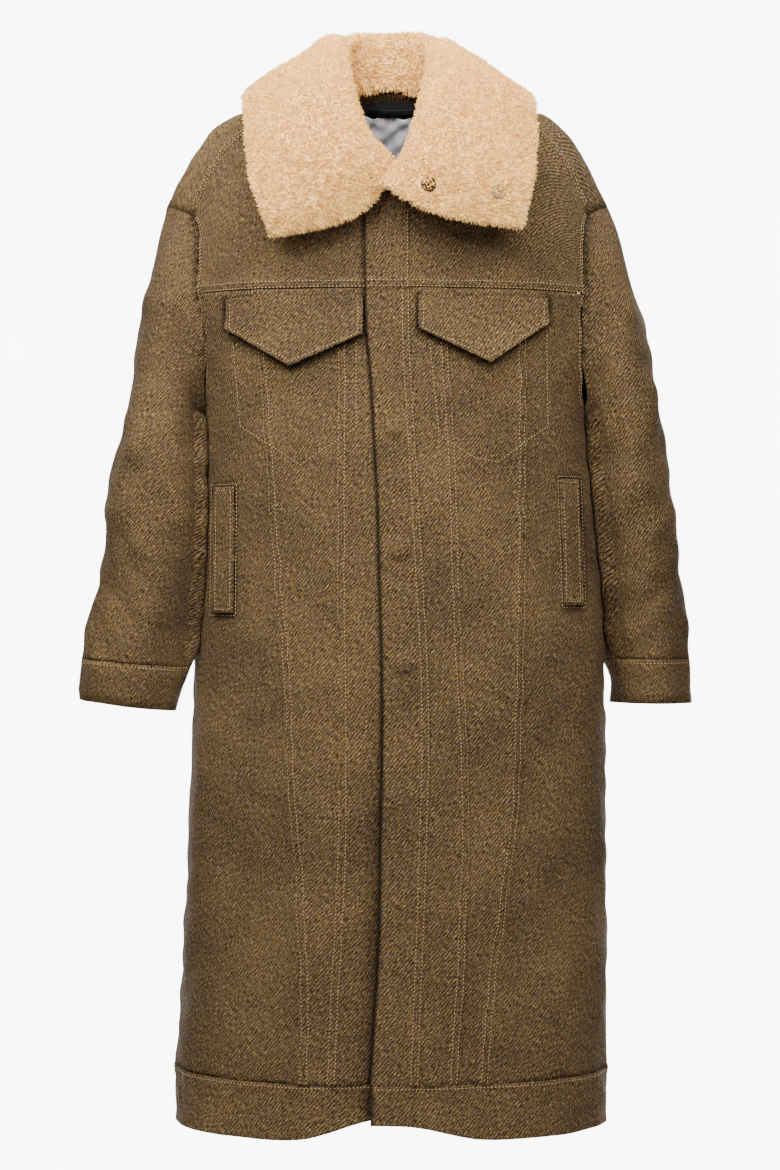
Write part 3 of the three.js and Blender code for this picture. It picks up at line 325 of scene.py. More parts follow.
@dataclass(frozen=True)
class PlainFinish:
    """A plain dyed or metal finish with a fine grain, for the small pieces."""

    name: str
    light: str
    deep: str
    grain: float
    rough: float
    metallic: float = 0.0
    sheen: float = 0.0
    relief: float = 0.2
    depth_mm: float = 0.15

    def build(self) -> bpy.types.Material:
        """Make the finish: two near colours mixed by its grain, with a little relief.

        Returns:
            The material.
        """
        material, tree, shader = new_material(self.name)
        place = add_node(tree, "ShaderNodeTexCoord").outputs["Object"]
        grain = add_node(tree, "ShaderNodeTexNoise", {"Vector": place, "Scale": self.grain, "Detail": 4.0})
        ramp = add_node(tree, "ShaderNodeValToRGB", {"Fac": grain.outputs["Fac"]})
        fill_ramp(ramp, ((0.35, self.deep), (0.65, self.light)))
        tree.links.new(ramp.outputs["Color"], shader.inputs["Base Color"])
        bump = add_node(
            tree,
            "ShaderNodeBump",
            {"Height": grain.outputs["Fac"], "Strength": self.relief, "Distance": self.depth_mm * MM},
        ).outputs["Normal"]
        tree.links.new(bump, shader.inputs["Normal"])
        shader.inputs["Roughness"].default_value = self.rough
        shader.inputs["Metallic"].default_value = self.metallic
        shader.inputs["Sheen Weight"].default_value = self.sheen
        return material


# Wool twill, woven and milled: slanting ribs, flecks of mixed yarn and no shine.
TWILL = TwillFinish().build()
# Shearling, clipped: soft mottled tufts with a faint glow where light grazes them.
PILE = PileFinish().build()
# The hide's other side, brushed to suede: an even, dry tan.
SUEDE = PlainFinish("tan_suede", "#c9a47a", "#b58f66", 400.0, 0.9, sheen=0.3).build()
# Twisted polyester thread: small light dashes on the cloth.
THREAD = PlainFinish("tan_thread", "#cda96c", "#a8834f", 900.0, 0.75, sheen=0.1).build()
# Painted shadow: a near black line along each row of stitches, for the shade in the groove that the needle
# presses into the twill.
ROW_SHADOW = PlainFinish("pressed_twill", "#2c1f12", "#1c130a", 900.0, 0.95).build()
# Matt black card: takes light away beside the coat.
FLAG_BLACK = PlainFinish("black_card", "#101010", "#0c0c0c", 3.0, 1.0, relief=0.0).build()
# Ribbed woven tape: a plain, near black band.
BLACK_BAND = PlainFinish("black_grosgrain", "#1d1d22", "#131317", 900.0, 0.8, relief=0.4).build()
# Woven satin: a smooth silver face with soft highlights along its creases.
SATIN = PlainFinish(
    "silver_satin", "#f0f0f6", "#cfd0da", 60.0, 0.36, sheen=0.2, relief=0.25, depth_mm=1.2
).build()
# Bronze, cast and darkened by age: warm glints on a brown ground.
BRONZE = PlainFinish("aged_bronze", "#4c3a2b", "#2f231a", 300.0, 0.32, metallic=1.0).build()
# Bronze, blackened: an almost dead pin that hides in the pile.
DARK_PIN = PlainFinish("blackened_bronze", "#241a13", "#140e0a", 300.0, 0.5, metallic=0.6).build()
# Nickel plate, worn: a paler, greyer glint.
NICKEL = PlainFinish("worn_nickel", "#8f8274", "#6b5f53", 300.0, 0.3, metallic=1.0).build()


# ------------------------------------------------------------------ shapes as numbers
Points = np.ndarray


def smoothstep(low: float, high: float, value: Points) -> Points:
    """Go from 0 at low to 1 at high with flat ends."""
    t = np.clip((value - low) / (high - low), 0, 1)
    return t * t * (3 - 2 * t)


def bump(value: Points) -> Points:
    """A round bump of height 1 at 0 that fades out at -1 and 1."""
    return np.where(np.abs(value) < 1, 0.5 + 0.5 * np.cos(np.pi * value), 0.0)


class SoftNoise:
    """Smooth seeded noise of about -1 to 1, made of waves that run in all directions."""

    def __init__(self, seed: int, size: float, waves: int = 22) -> None:
        """Choose the waves.

        Args:
            seed: Fixes the pattern.
            size: A middling wave's length in metres.
            waves: How many waves are added up.
        """
        rng = np.random.default_rng(seed)
        ways = rng.normal(size=(waves, 3))
        ways /= np.linalg.norm(ways, axis=1)[:, None]
        self.ways = ways * (2 * math.pi / size) * rng.uniform(0.6, 1.5, waves)[:, None]
        self.phases = rng.uniform(0, 2 * math.pi, waves)
        self.gain = 1.6 / math.sqrt(waves)

    def __call__(self, points: Points) -> Points:
        """Read the noise at points given as rows of x, y and z."""
        return np.sin(points @ self.ways.T + self.phases).sum(axis=1) * self.gain


class Ring:
    """Arc length round an oval, so that the weave keeps its scale all the way round it."""

    def __init__(self, half: float, depth: float, power: float = 2.3) -> None:
        """Measure the oval.

        Args:
            half: Its half width along the first axis, in metres.
            depth: Its half depth along the second axis.
            power: How square it is, 2 is an ellipse.
        """
        turn = np.linspace(-math.pi, math.pi, 721)
        first = half * np.sign(np.sin(turn)) * np.abs(np.sin(turn)) ** (2 / power)
        second = depth * np.sign(np.cos(turn)) * np.abs(np.cos(turn)) ** (2 / power)
        steps = np.hypot(np.diff(first), np.diff(second))
        self.angles = np.unwrap(np.arctan2(first, second))
        self.angles += -math.pi - self.angles[0]
        self.lengths = np.concatenate([[0], np.cumsum(steps)])
        self.length = self.lengths[-1]
        self.lengths -= self.length / 2

    def arc(self, angle: Points) -> Points:
        """Arc length at an angle from the second axis, which may pass a half turn."""
        turns = np.floor((angle + math.pi) / (2 * math.pi))
        return np.interp(angle - turns * 2 * math.pi, self.angles, self.lengths) + turns * self.length


BODY_RING = Ring(TORSO_HALF, TORSO_DEPTH)
SHOULDER_RING = Ring(0.24, 0.124, 2.0)


def outward(points: Points) -> Points:
    """Unit vectors that point out of the coat's body or shoulders, near enough for its relief.

    Args:
        points: Places on or near the body.

    Returns:
        A way for each, of length 1.
    """
    ways = np.empty_like(points)
    ways[:, 0] = points[:, 0] / TORSO_HALF**2
    ways[:, 1] = points[:, 1] / TORSO_DEPTH**2
    rise = np.maximum(0, points[:, 2] - YOKE_Z)
    ways[:, 2] = rise / 0.24**2
    ways[:, 0] *= 1 - 0.7 * np.clip(rise / 0.08, 0, 1)
    return ways / np.linalg.norm(ways, axis=1)[:, None]


def node_edges(node: str) -> tuple[Points, Points]:
    """Both ends of every edge of a CAD node, in metres.

    Args:
        node: The CAD node.

    Returns:
        The two ends of each edge, in metres.
    """
    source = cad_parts[node]
    places = np.array([source.matrix_world @ v.co for v in source.data.vertices])
    pairs = np.array([list(e.vertices) for e in source.data.edges])
    return places[pairs[:, 0]], places[pairs[:, 1]]


class Edge(Enum):
    """Which end of a level cut through a piece is meant, as its side along x."""

    LOW = 0
    HIGH = 1


class Seam:
    """The line of a piece's edge over the front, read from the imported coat."""

    def __init__(self, node: str, edge: Edge, step: float = 0.012) -> None:
        """Cut the piece at level heights and keep the outermost place of each cut.

        Args:
            node: The CAD node.
            edge: Which of its two ends along x is the seam.
            step: Distance between two cuts, in metres.
        """
        low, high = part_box(node)
        a, b = node_edges(node)
        self.z = np.arange(low.z + 0.001, high.z - 0.001, step)
        rows = []
        for z in self.z:
            across = (a[:, 2] - z) * (b[:, 2] - z) <= 0
            from_, to = a[across], b[across]
            rise = to[:, 2] - from_[:, 2]
            t = (z - from_[:, 2]) / np.where(np.abs(rise) < 1e-9, 1e-9, rise)
            cut = from_ + (to - from_) * np.clip(t, 0, 1)[:, None]
            rows.append(cut[cut[:, 0].argmin() if edge is Edge.LOW else cut[:, 0].argmax()])
        self.points = np.array(rows)
        self.arcs = body_arc(self.points)

    def x(self, z: Points) -> Points:
        """How far the seam lies from the centre at each height."""
        return np.interp(z, self.z, self.points[:, 0])

    def arc(self, z: Points) -> Points:
        """Where the seam lies round the body at each height, as arc length."""
        return np.interp(z, self.z, self.arcs)


def body_arc(points: Points) -> Points:
    """Arc length round the body from the centre front, plus to the wearer's left."""
    return BODY_RING.arc(np.arctan2(points[:, 0], -points[:, 1]))


# ------------------------------------------------------------------ making a piece
@dataclass
class Cloth:
    """One piece of cloth, with what its look needs.

    Attributes:
        node: The CAD solid that it replaces.
        flat: Width and length of the cut before it was sewn, in metres. Not used.
        levels: How often its grid is halved.
        held: How the cloth is held. Not used.
        rests_on: The pieces that it hangs from. Not used.
        area: Flat area of a cut that isn't a rectangle, in square metres. Not used.
        cuts: Extra cuts along the piece before it is rounded.
        mouth: The CAD nodes that the piece's open end is sewn to.
    """

    node: str
    flat: tuple[float, float]
    levels: int = 3
    held: str = "hung"
    rests_on: Sequence[str] = ()
    area: float | None = None
    cuts: int = 0
    mouth: Sequence[str] = ()


RIM_ANGLE = math.radians(50)
WELD = 0.001  # pieces that meet closer than this at a seam become one


def near_nodes(places: Points, nodes: Sequence[str], reach: float) -> Points:
    """Which places lie within reach of any vertex or edge middle of the CAD nodes.

    Args:
        places: Points of the piece.
        nodes: The CAD nodes.
        reach: How far still counts as near, in metres.

    Returns:
        A share for each point, 1 at the nodes and 0 out of reach.
    """
    tree = KDTree(sum(len(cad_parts[n].data.edges) * 3 for n in nodes))
    count = 0
    for node in nodes:
        a, b = node_edges(node)
        for spot in np.concatenate([a, b, (a + b) / 2]):
            tree.insert(spot, count)
            count += 1
    tree.balance()
    return np.array([tree.find(p)[2] < reach for p in places])


def refine(cloth: Cloth, nodes: Sequence[str] = (), rim_angle: float = RIM_ANGLE) -> bpy.types.Object:
    """Copy one or more CAD solids as a smooth, finer wall that keeps its rims.

    Args:
        cloth: The piece.
        nodes: The solids, if they are more than the one that the piece is named for.
        rim_angle: The angle between two faces over which their edge is a rim.

    Returns:
        The new object, which lies where the solids are. Its "outer" attribute is 1 on the side
        that faces out of the coat, and its material index is 1 on the other side's faces.
    """
    shape = bmesh.new()
    for node in nodes or (cloth.node,):
        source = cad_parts[node]
        copy = source.data.copy()
        copy.transform(source.matrix_world)
        shape.from_mesh(copy)
        bpy.data.meshes.remove(copy)
    bmesh.ops.remove_doubles(shape, verts=shape.verts, dist=1e-5)
    if nodes:
        inside = [f for f in shape.faces if all(abs(v.co.x) < WELD for v in f.verts)]
        bmesh.ops.delete(shape, geom=inside, context="FACES")
        middle = [v for v in shape.verts if abs(v.co.x) < WELD]
        bmesh.ops.remove_doubles(shape, verts=middle, dist=WELD)
    longest = {f: max(f.edges, key=lambda e: e.calc_length()) for f in shape.faces}
    diagonals = [
        e
        for e in shape.edges
        if len(e.link_faces) == 2
        and all(longest[f] is e for f in e.link_faces)
        and e.calc_face_angle(0) < rim_angle
    ]
    bmesh.ops.dissolve_edges(shape, edges=diagonals, use_verts=False)
    if cloth.cuts:
        rise = {e: abs(e.verts[0].co.z - e.verts[1].co.z) for e in shape.edges}
        upright = [e for e in shape.edges if rise[e] > 0.8 * e.calc_length() > 0.008]
        bmesh.ops.subdivide_edges(shape, edges=upright, cuts=cloth.cuts, use_grid_fill=True)
    crease = shape.edges.layers.float.new("crease_edge")
    rims = {e for e in shape.edges if e.calc_face_angle(0) > rim_angle}
    for edge in rims:
        edge[crease] = 1.0
    mark_sides(shape, rims)
    mesh = bpy.data.meshes.new(cloth.node + "_base")
    shape.to_mesh(mesh)
    shape.free()
    if cloth.mouth:
        places = np.array([v.co for v in mesh.vertices])
        marks = near_nodes(places, cloth.mouth, MOUTH_REACH).astype(np.float32)
        mesh.attributes.new("mouth", "FLOAT", "POINT").data.foreach_set("value", marks)
    base = bpy.data.objects.new(cloth.node + "_base", mesh)
    bpy.context.scene.collection.objects.link(base)
    rounding = base.modifiers.new("rounding", "SUBSURF")
    rounding.levels = rounding.render_levels = cloth.levels
    return bake(base, cloth.node + "_cloth")


def mark_sides(shape: bmesh.types.BMesh, rims: set[bmesh.types.BMEdge]) -> None:
    """Tell the wall's outer side from its inner one.

    Args:
        shape: The wall. Its outer vertices get an "outer" value of 1, and the faces of its inner
            side get the second material.
        rims: Its sharp edges, which part its two sides.
    """
    side = shape.verts.layers.float.new("outer")
    left = set(shape.faces)
    regions = []
    while left:
        queue = [left.pop()]
        region = set(queue)
        while queue:
            for edge in queue.pop().edges:
                for other in () if edge in rims else edge.link_faces:
                    if other in left:
                        left.discard(other)
                        region.add(other)
                        queue.append(other)
        regions.append(region)
    regions.sort(key=lambda region: sum(f.calc_area() for f in region), reverse=True)
    sides = sorted(regions[:2], key=lambda region: max(v.co.z for f in region for v in f.verts))
    outer, inner = sides[1], sides[0]
    if facing(inner) > facing(outer) + OUTER_MARGIN:
        outer, inner = inner, outer
    for face in outer:
        for vert in face.verts:
            vert[side] = 1.0
    for face in inner:
        face.material_index = 1


def facing(region: set[bmesh.types.BMFace]) -> float:
    """How much a set of faces looks out of the coat, from -1 to 1."""
    centres = np.array([f.calc_center_median() for f in region])
    normals = np.array([f.normal * f.calc_area() for f in region])
    return float((outward(centres) * normals).sum() / sum(f.calc_area() for f in region))


def bake(base: bpy.types.Object, name: str) -> bpy.types.Object:
    """Replace an object with a plain mesh of what its modifiers make.

    Args:
        base: The object, which is removed.
        name: The new object's name.

    Returns:
        The new object.
    """
    graph = bpy.context.evaluated_depsgraph_get()
    mesh = bpy.data.meshes.new_from_object(base.evaluated_get(graph))
    mesh.name = name
    made = bpy.data.objects.new(name, mesh)
    bpy.context.scene.collection.objects.link(made)
    bpy.data.objects.remove(base)
    return made


def vertices(piece: bpy.types.Object) -> Points:
    """The piece's vertices as rows of x, y and z."""
    flat = np.empty(len(piece.data.vertices) * 3)
    piece.data.vertices.foreach_get("co", flat)
    return flat.reshape(-1, 3)


def set_vertices(piece: bpy.types.Object, places: Points) -> None:
    """Move the piece's vertices to new places."""
    piece.data.vertices.foreach_set("co", places.ravel())
    piece.data.update()


Relief = Callable[[Points], Points]
Chart = Callable[[Points, Points], Points]


def shape_relief(piece: bpy.types.Object, relief: Relief, ways: Callable[[Points], Points]) -> None:
    """Move both faces of a wall out or in by the same relief.

    Args:
        piece: The wall.
        relief: Height at each point, in metres.
        ways: The direction at each point.
    """
    places = vertices(piece)
    set_vertices(piece, places + ways(places) * relief(places)[:, None])


def lay_map(piece: bpy.types.Object, chart: Chart) -> None:
    """Give the piece its map in metres, without a tear inside a face.

    Args:
        piece: The piece.
        chart: Turns corner points and the middles of their faces into map places.
    """
    mesh = piece.data
    corners = np.empty(len(mesh.loops), dtype=np.int64)
    mesh.loops.foreach_get("vertex_index", corners)
    totals = np.empty(len(mesh.polygons), dtype=np.int64)
    mesh.polygons.foreach_get("loop_total", totals)
    centres = np.empty(len(mesh.polygons) * 3)
    mesh.polygons.foreach_get("center", centres)
    middles = np.repeat(centres.reshape(-1, 3), totals, axis=0)
    layer = mesh.uv_layers.new(name="cloth")
    layer.data.foreach_set("uv", chart(vertices(piece)[corners], middles).ravel())


def near_angle(angle: Points, middle: Points) -> Points:
    """The angle, moved by whole turns to lie next to the face's own."""
    return middle + (angle - middle + math.pi) % (2 * math.pi) - math.pi


def body_chart(base_turn: float) -> Chart:
    """A map round the body, torn a half turn away from the base turn.

    Args:
        base_turn: The turn round the body, in radians, that a piece's map is centred on.

    Returns:
        The chart.
    """

    def chart(points: Points, middles: Points) -> Points:
        """Lay points of the body flat by arc length and height."""
        turn = near_angle(np.arctan2(points[:, 0], -points[:, 1]), base_turn)
        middle = near_angle(np.arctan2(middles[:, 0], -middles[:, 1]), base_turn)
        return np.stack([BODY_RING.arc(near_angle(turn, middle)), points[:, 2]], axis=1)

    return chart


def shoulder_chart(points: Points, middles: Points) -> Points:
    """A map over the shoulders: round the body at the yoke seam and across it at the ridge.

    Args:
        points: Places on the piece.
        middles: The middle of each one's face.

    Returns:
        Their places on the flat cloth, in metres.
    """
    turn = np.arctan2(points[:, 2] - YOKE_Z, -points[:, 1])
    middle = np.arctan2(middles[:, 2] - YOKE_Z, -middles[:, 1])
    arcs = SHOULDER_RING.arc(near_angle(turn, middle))
    round_ = np.abs(body_arc(points))
    folded = np.sign(points[:, 0]) * np.minimum(round_, BODY_RING.length / 2 - round_)
    high = smoothstep(0.0, 0.1, points[:, 2] - YOKE_Z)
    return np.stack([folded * (1 - high) + points[:, 0] * 1.12 * high, arcs + YOKE_Z], axis=1)


def tube_chart(line: Points, base_turn: float) -> Chart:
    """A map round a sleeve, torn a half turn away from the base turn.

    Args:
        line: Rows of z, x and y of the sleeve's middle line, from low to high.
        base_turn: The side that stays whole.

    Returns:
        The chart.
    """

    def angle(points: Points) -> Points:
        """The turn of each point round the tube's middle line."""
        x = points[:, 0] - np.interp(points[:, 2], line[:, 0], line[:, 1])
        y = points[:, 1] - np.interp(points[:, 2], line[:, 0], line[:, 2])
        return np.arctan2(x, -y)

    def chart(points: Points, middles: Points) -> Points:
        """Lay points of the tube flat by turn and height."""
        middle = near_angle(angle(middles), base_turn)
        turn = near_angle(angle(points), middle)
        return np.stack([turn * SLEEVE_RADIUS, points[:, 2]], axis=1)

    return chart


def material_marks(piece: bpy.types.Object) -> np.ndarray:
    """The material index of each face."""
    marks = np.zeros(len(piece.data.polygons), dtype=np.int32)
    piece.data.polygons.foreach_get("material_index", marks)
    return marks


def values(piece: bpy.types.Object, name: str) -> Points:
    """A float attribute of the piece's vertices."""
    read = np.zeros(len(piece.data.vertices), dtype=np.float32)
    piece.data.attributes[name].data.foreach_get("value", read)
    return read


def finish_piece(piece: bpy.types.Object, materials: Sequence[bpy.types.Material]) -> None:
    """Smooth a piece, give it its materials and let it ride on the coat.

    Args:
        piece: The piece.
        materials: Its materials in order.
    """
    marks = material_marks(piece)
    piece.data.materials.clear()
    for material in materials:
        piece.data.materials.append(material)
    piece.data.polygons.foreach_set("material_index", np.minimum(marks, len(materials) - 1))
    piece.data.shade_smooth()
    piece.data.set_sharp_from_angle(angle=math.radians(60))
    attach(piece, ROOT)
    log.info("%s: %d faces", piece.name, len(piece.data.polygons))


def declare(
    cloth: Cloth,
    nodes: Sequence[str] = (),
) -> None:
    """Args:
        cloth: What it is cut from.
        nodes: The solids that it stands for, if they are more than its own.
    """
    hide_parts(*(nodes or (cloth.node,)))


# ------------------------------------------------------------------ the coat's body
@dataclass
class FoldSizes:
    """Soft relief of the body cloth, in metres."""

    drape: float = 0.0016
    drape_size: float = 0.17
    ripple: float = 0.0006
    ripple_size: float = 0.045
    seam_rise: float = 0.0016
    seam_width: float = 0.0095
    pucker: float = 0.00035
    pucker_pitch: float = 0.017


@dataclass
class Crease:
    """A fold of the front: a line from one point to another, seen from the front.

    Attributes:
        start: Where it starts, x and z in metres.
        end: Where it ends.
        width: Half of its width.
        height: How far it stands out, or minus how far it lies in.
    """

    start: tuple[float, float]
    end: tuple[float, float]
    width: float
    height: float

    def relief(self, points: Points) -> Points:
        """Height of the fold at points.

        Args:
            points: Places on the cloth.

        Returns:
            How far each one is moved out, in metres.
        """
        a = np.array(self.start)
        run = np.array(self.end) - a
        away = points[:, [0, 2]] - a
        length = float(run @ run)
        along = away @ run / length
        across = (away[:, 0] * run[1] - away[:, 1] * run[0]) / math.sqrt(length)
        ends = smoothstep(-0.12, 0.3, along) * (1 - smoothstep(0.7, 1.12, along))
        return self.height * bump(across / self.width) * ends


class Body:
    """Fronts, back, yokes, placket and hem band."""

    FRONTS = (
        Cloth("front_inner_left", (0.054, 0.88), rests_on=("front_yoke_left",)),
        Cloth("front_mid_left", (0.078, 0.88), rests_on=("front_yoke_left",)),
        Cloth("front_side_left", (0.185, 0.88), rests_on=("front_yoke_left",)),
        Cloth("front_side_right", (0.19, 0.88), rests_on=("front_yoke_right",)),
        Cloth("front_mid_right", (0.078, 0.88), rests_on=("front_yoke_right",)),
        Cloth("front_inner_right", (0.09, 0.88), rests_on=("front_yoke_right",)),
        Cloth("hem_band_left", (0.335, 0.064), rests_on=("front_side_left",)),
        Cloth("hem_band_right", (0.33, 0.064), rests_on=("front_side_right",)),
    )
    PLACKET = Cloth("placket", (0.053, 0.985), rests_on=("front_inner_left",), cuts=1)
    BACKS = (
        Cloth("back_panel", (0.23, 0.88), levels=2, rests_on=("back_yoke",)),
        Cloth("back_side_left", (0.19, 0.88), levels=2, rests_on=("back_yoke",)),
        Cloth("back_side_right", (0.19, 0.88), levels=2, rests_on=("back_yoke",)),
        Cloth("hem_band_back", (0.66, 0.064), levels=2, rests_on=("back_panel",)),
    )
    YOKES = (
        Cloth("front_yoke_left", (0.215, 0.225), rests_on=("back_yoke",)),
        Cloth("front_yoke_right", (0.235, 0.225), rests_on=("back_yoke",)),
    )
    BACK_YOKE = Cloth("back_yoke", (0.52, 0.34), levels=2)
    SNAP_BUMPS = ((0.0044, -0.385), (0.0099, -0.518), (0.0143, -0.645))
    SNAP_RADIUS = 0.011
    SNAP_HEIGHT = 0.0034

    def __init__(self, sizes: FoldSizes) -> None:
        """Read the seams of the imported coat.

        Args:
            sizes: Sizes of its folds and seams.
        """
        self.sizes = sizes
        self.drape = SoftNoise(11, sizes.drape_size)
        self.ripple = SoftNoise(12, sizes.ripple_size)
        self.seams = {
            "placket": Seam("front_inner_left", Edge.LOW),
            "inner_left": Seam("front_mid_left", Edge.LOW),
            "outer_left": Seam("front_side_left", Edge.LOW),
            "inner_right": Seam("front_mid_right", Edge.HIGH),
            "outer_right": Seam("front_side_right", Edge.HIGH),
        }
        self.lap = Seam("placket", Edge.LOW)
        # Which way each felled ridge lies from its seam: 1 to the wearer's left, -1 to the right.
        lefts = dict.fromkeys(("placket", "inner_left", "outer_left"), -1)
        self.ridge_sides = {**lefts, "inner_right": 1, "outer_right": 1}

    def ridge(self, away: Points) -> Points:
        """Relief of a felled seam by the distance from its line, on the felled side.

        Args:
            away: Distance from the seam, plus on the side that the ridge lies on.

        Returns:
            The height, with a groove right at the seam.
        """
        sizes = self.sizes
        fall = 1 - smoothstep(sizes.seam_width, sizes.seam_width + 0.003, away)
        rise = smoothstep(-0.0012, 0.0012, away) * fall
        groove = bump((away - 0.0043) / 0.002) + bump((away + 0.003) / 0.0025)
        return sizes.seam_rise * rise - 0.0005 * groove

    def soft(self, points: Points) -> Points:
        """Large soft waves that every piece of the coat shares, so that neighbours stay together.

        Args:
            points: Places on the body.

        Returns:
            How far each one is moved out, in metres.
        """
        sizes = self.sizes
        calm = 0.35 + 0.65 * smoothstep(-0.25, -0.55, points[:, 2])
        waves = sizes.drape * self.drape(points * np.array([1.0, 1.0, 0.45])) * calm
        return waves + sizes.ripple * self.ripple(points)

    def relief(self, points: Points) -> Points:
        """All relief of the body below and above the yoke seam.

        Args:
            points: Places on the body.

        Returns:
            How far each one is moved out, in metres.
        """
        sizes = self.sizes
        height = self.soft(points)
        below = points[:, 2] < YOKE_Z + 0.0005
        front = points[:, 1] < 0
        arcs = body_arc(points)
        for name, seam in self.seams.items():
            away = (arcs - seam.arc(points[:, 2])) * self.ridge_sides[name]
            reach = front & (points[:, 2] > HEM_SEAM_Z - 0.001) & (below | (name == "placket"))
            height += np.where(reach, self.ridge(away), 0)
            pucker = np.sin(points[:, 2] * 2 * math.pi / sizes.pucker_pitch + 5 * self.ripple(points))
            near = np.exp(-((away - 0.004) / 0.011) ** 2)
            height += np.where(reach, sizes.pucker * pucker * near, 0)
        yoke = points[:, 2] - YOKE_Z
        height += np.where(np.abs(yoke) < 0.03, self.ridge(yoke), 0)
        hem = HEM_SEAM_Z - points[:, 2]
        height += np.where(np.abs(hem) < 0.03, self.ridge(hem) * 0.6, 0)
        ripple = 0.0005 * np.sin(arcs * 2 * math.pi / 0.021)
        height += np.where(hem > -0.02, ripple, 0) * bump((hem - 0.02) / 0.05)
        for x, z in self.SNAP_BUMPS:
            away = np.hypot(points[:, 0] - x, points[:, 2] - z)
            dome = self.SNAP_HEIGHT * (1 - smoothstep(0.55, 1.25, away / self.SNAP_RADIUS))
            height += np.where(front, dome, 0)
            low = np.hypot(points[:, 0] - x, (points[:, 2] - z + 0.013) * 1.6)
            height -= np.where(front, 0.0012 * bump(low / 0.012), 0)
        for crease in FRONT_CREASES:
            height += np.where(front, crease.relief(points), 0)
        return height

    def build(self) -> list[bpy.types.Object]:
        """Make every piece of the body.

        Returns:
            The finished pieces.
        """
        made = []
        for cloth in (*self.FRONTS, self.PLACKET):
            made.append(self.piece(cloth, body_chart(0.0)))
        for cloth in self.BACKS:
            made.append(self.piece(cloth, body_chart(math.pi)))
        for cloth in (*self.YOKES, self.BACK_YOKE):
            made.append(self.piece(cloth, shoulder_chart))
        return made

    def piece(self, cloth: Cloth, chart: Chart) -> bpy.types.Object:
        """Make one piece of the body.

        Args:
            cloth: The piece to make.
            chart: How its weave is laid.

        Returns:
            The finished piece.
        """
        piece = refine(cloth)
        lay_map(piece, chart)
        shape_relief(piece, self.relief, outward)
        finish_piece(piece, [TWILL])
        declare(cloth)
        return piece


FRONT_CREASES: tuple[Crease, ...] = (
    Crease((0.054, -0.343), (0.12, -0.431), 0.02, 0.0016),
    Crease((0.075, -0.45), (0.15, -0.5), 0.022, 0.0013),
    Crease((-0.1, -0.596), (-0.111, -1.014), 0.035, 0.0019),
    Crease((-0.166, -0.629), (-0.172, -1.058), 0.03, -0.0016),
    Crease((0.12, -0.618), (0.125, -1.014), 0.035, 0.0019),
    Crease((0.186, -0.629), (0.197, -1.014), 0.03, -0.0017),
    Crease((-0.183, -0.618), (-0.111, -0.574), 0.02, 0.0013),
)


class Pockets:
    """The chest flaps and the side welts."""

    CLOTHS = (
        Cloth("chest_flap_left", (0.155, 0.075), rests_on=("front_yoke_left",), area=0.0092),
        Cloth("chest_flap_right", (0.165, 0.078), rests_on=("front_yoke_right",), area=0.0105),
        Cloth("welt_left", (0.03, 0.15), rests_on=("front_side_left",)),
        Cloth("welt_right", (0.033, 0.15), rests_on=("front_side_right",)),
    )

    FLAP_LIFT = 0.0032
    WELT_LIFT = 0.0008

    def __init__(self, body: Body) -> None:
        """Keep the body, whose waves the flaps follow."""
        self.body = body

    def build(self) -> list[bpy.types.Object]:
        """Make the flaps and welts.

        Returns:
            The finished pieces.
        """
        made = []
        for cloth in self.CLOTHS:
            piece = refine(cloth)
            lay_map(piece, body_chart(0.0))
            low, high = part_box(cloth.node)
            lift = self.FLAP_LIFT if cloth.node.startswith("chest_flap") else self.WELT_LIFT

            def relief(points: Points) -> Points:
                """The body's waves, and the lift of the piece's lower and outer edges."""
                down = smoothstep(high.z - 0.012, low.z + 0.012, points[:, 2])
                out = smoothstep(0.3, 1.0, np.abs(points[:, 0]) / max(abs(low.x), abs(high.x)))
                return self.body.soft(points) + lift * np.maximum(down, out * 0.8)

            shape_relief(piece, relief, outward)
            finish_piece(piece, [TWILL])
            declare(cloth)
            made.append(piece)
        return made


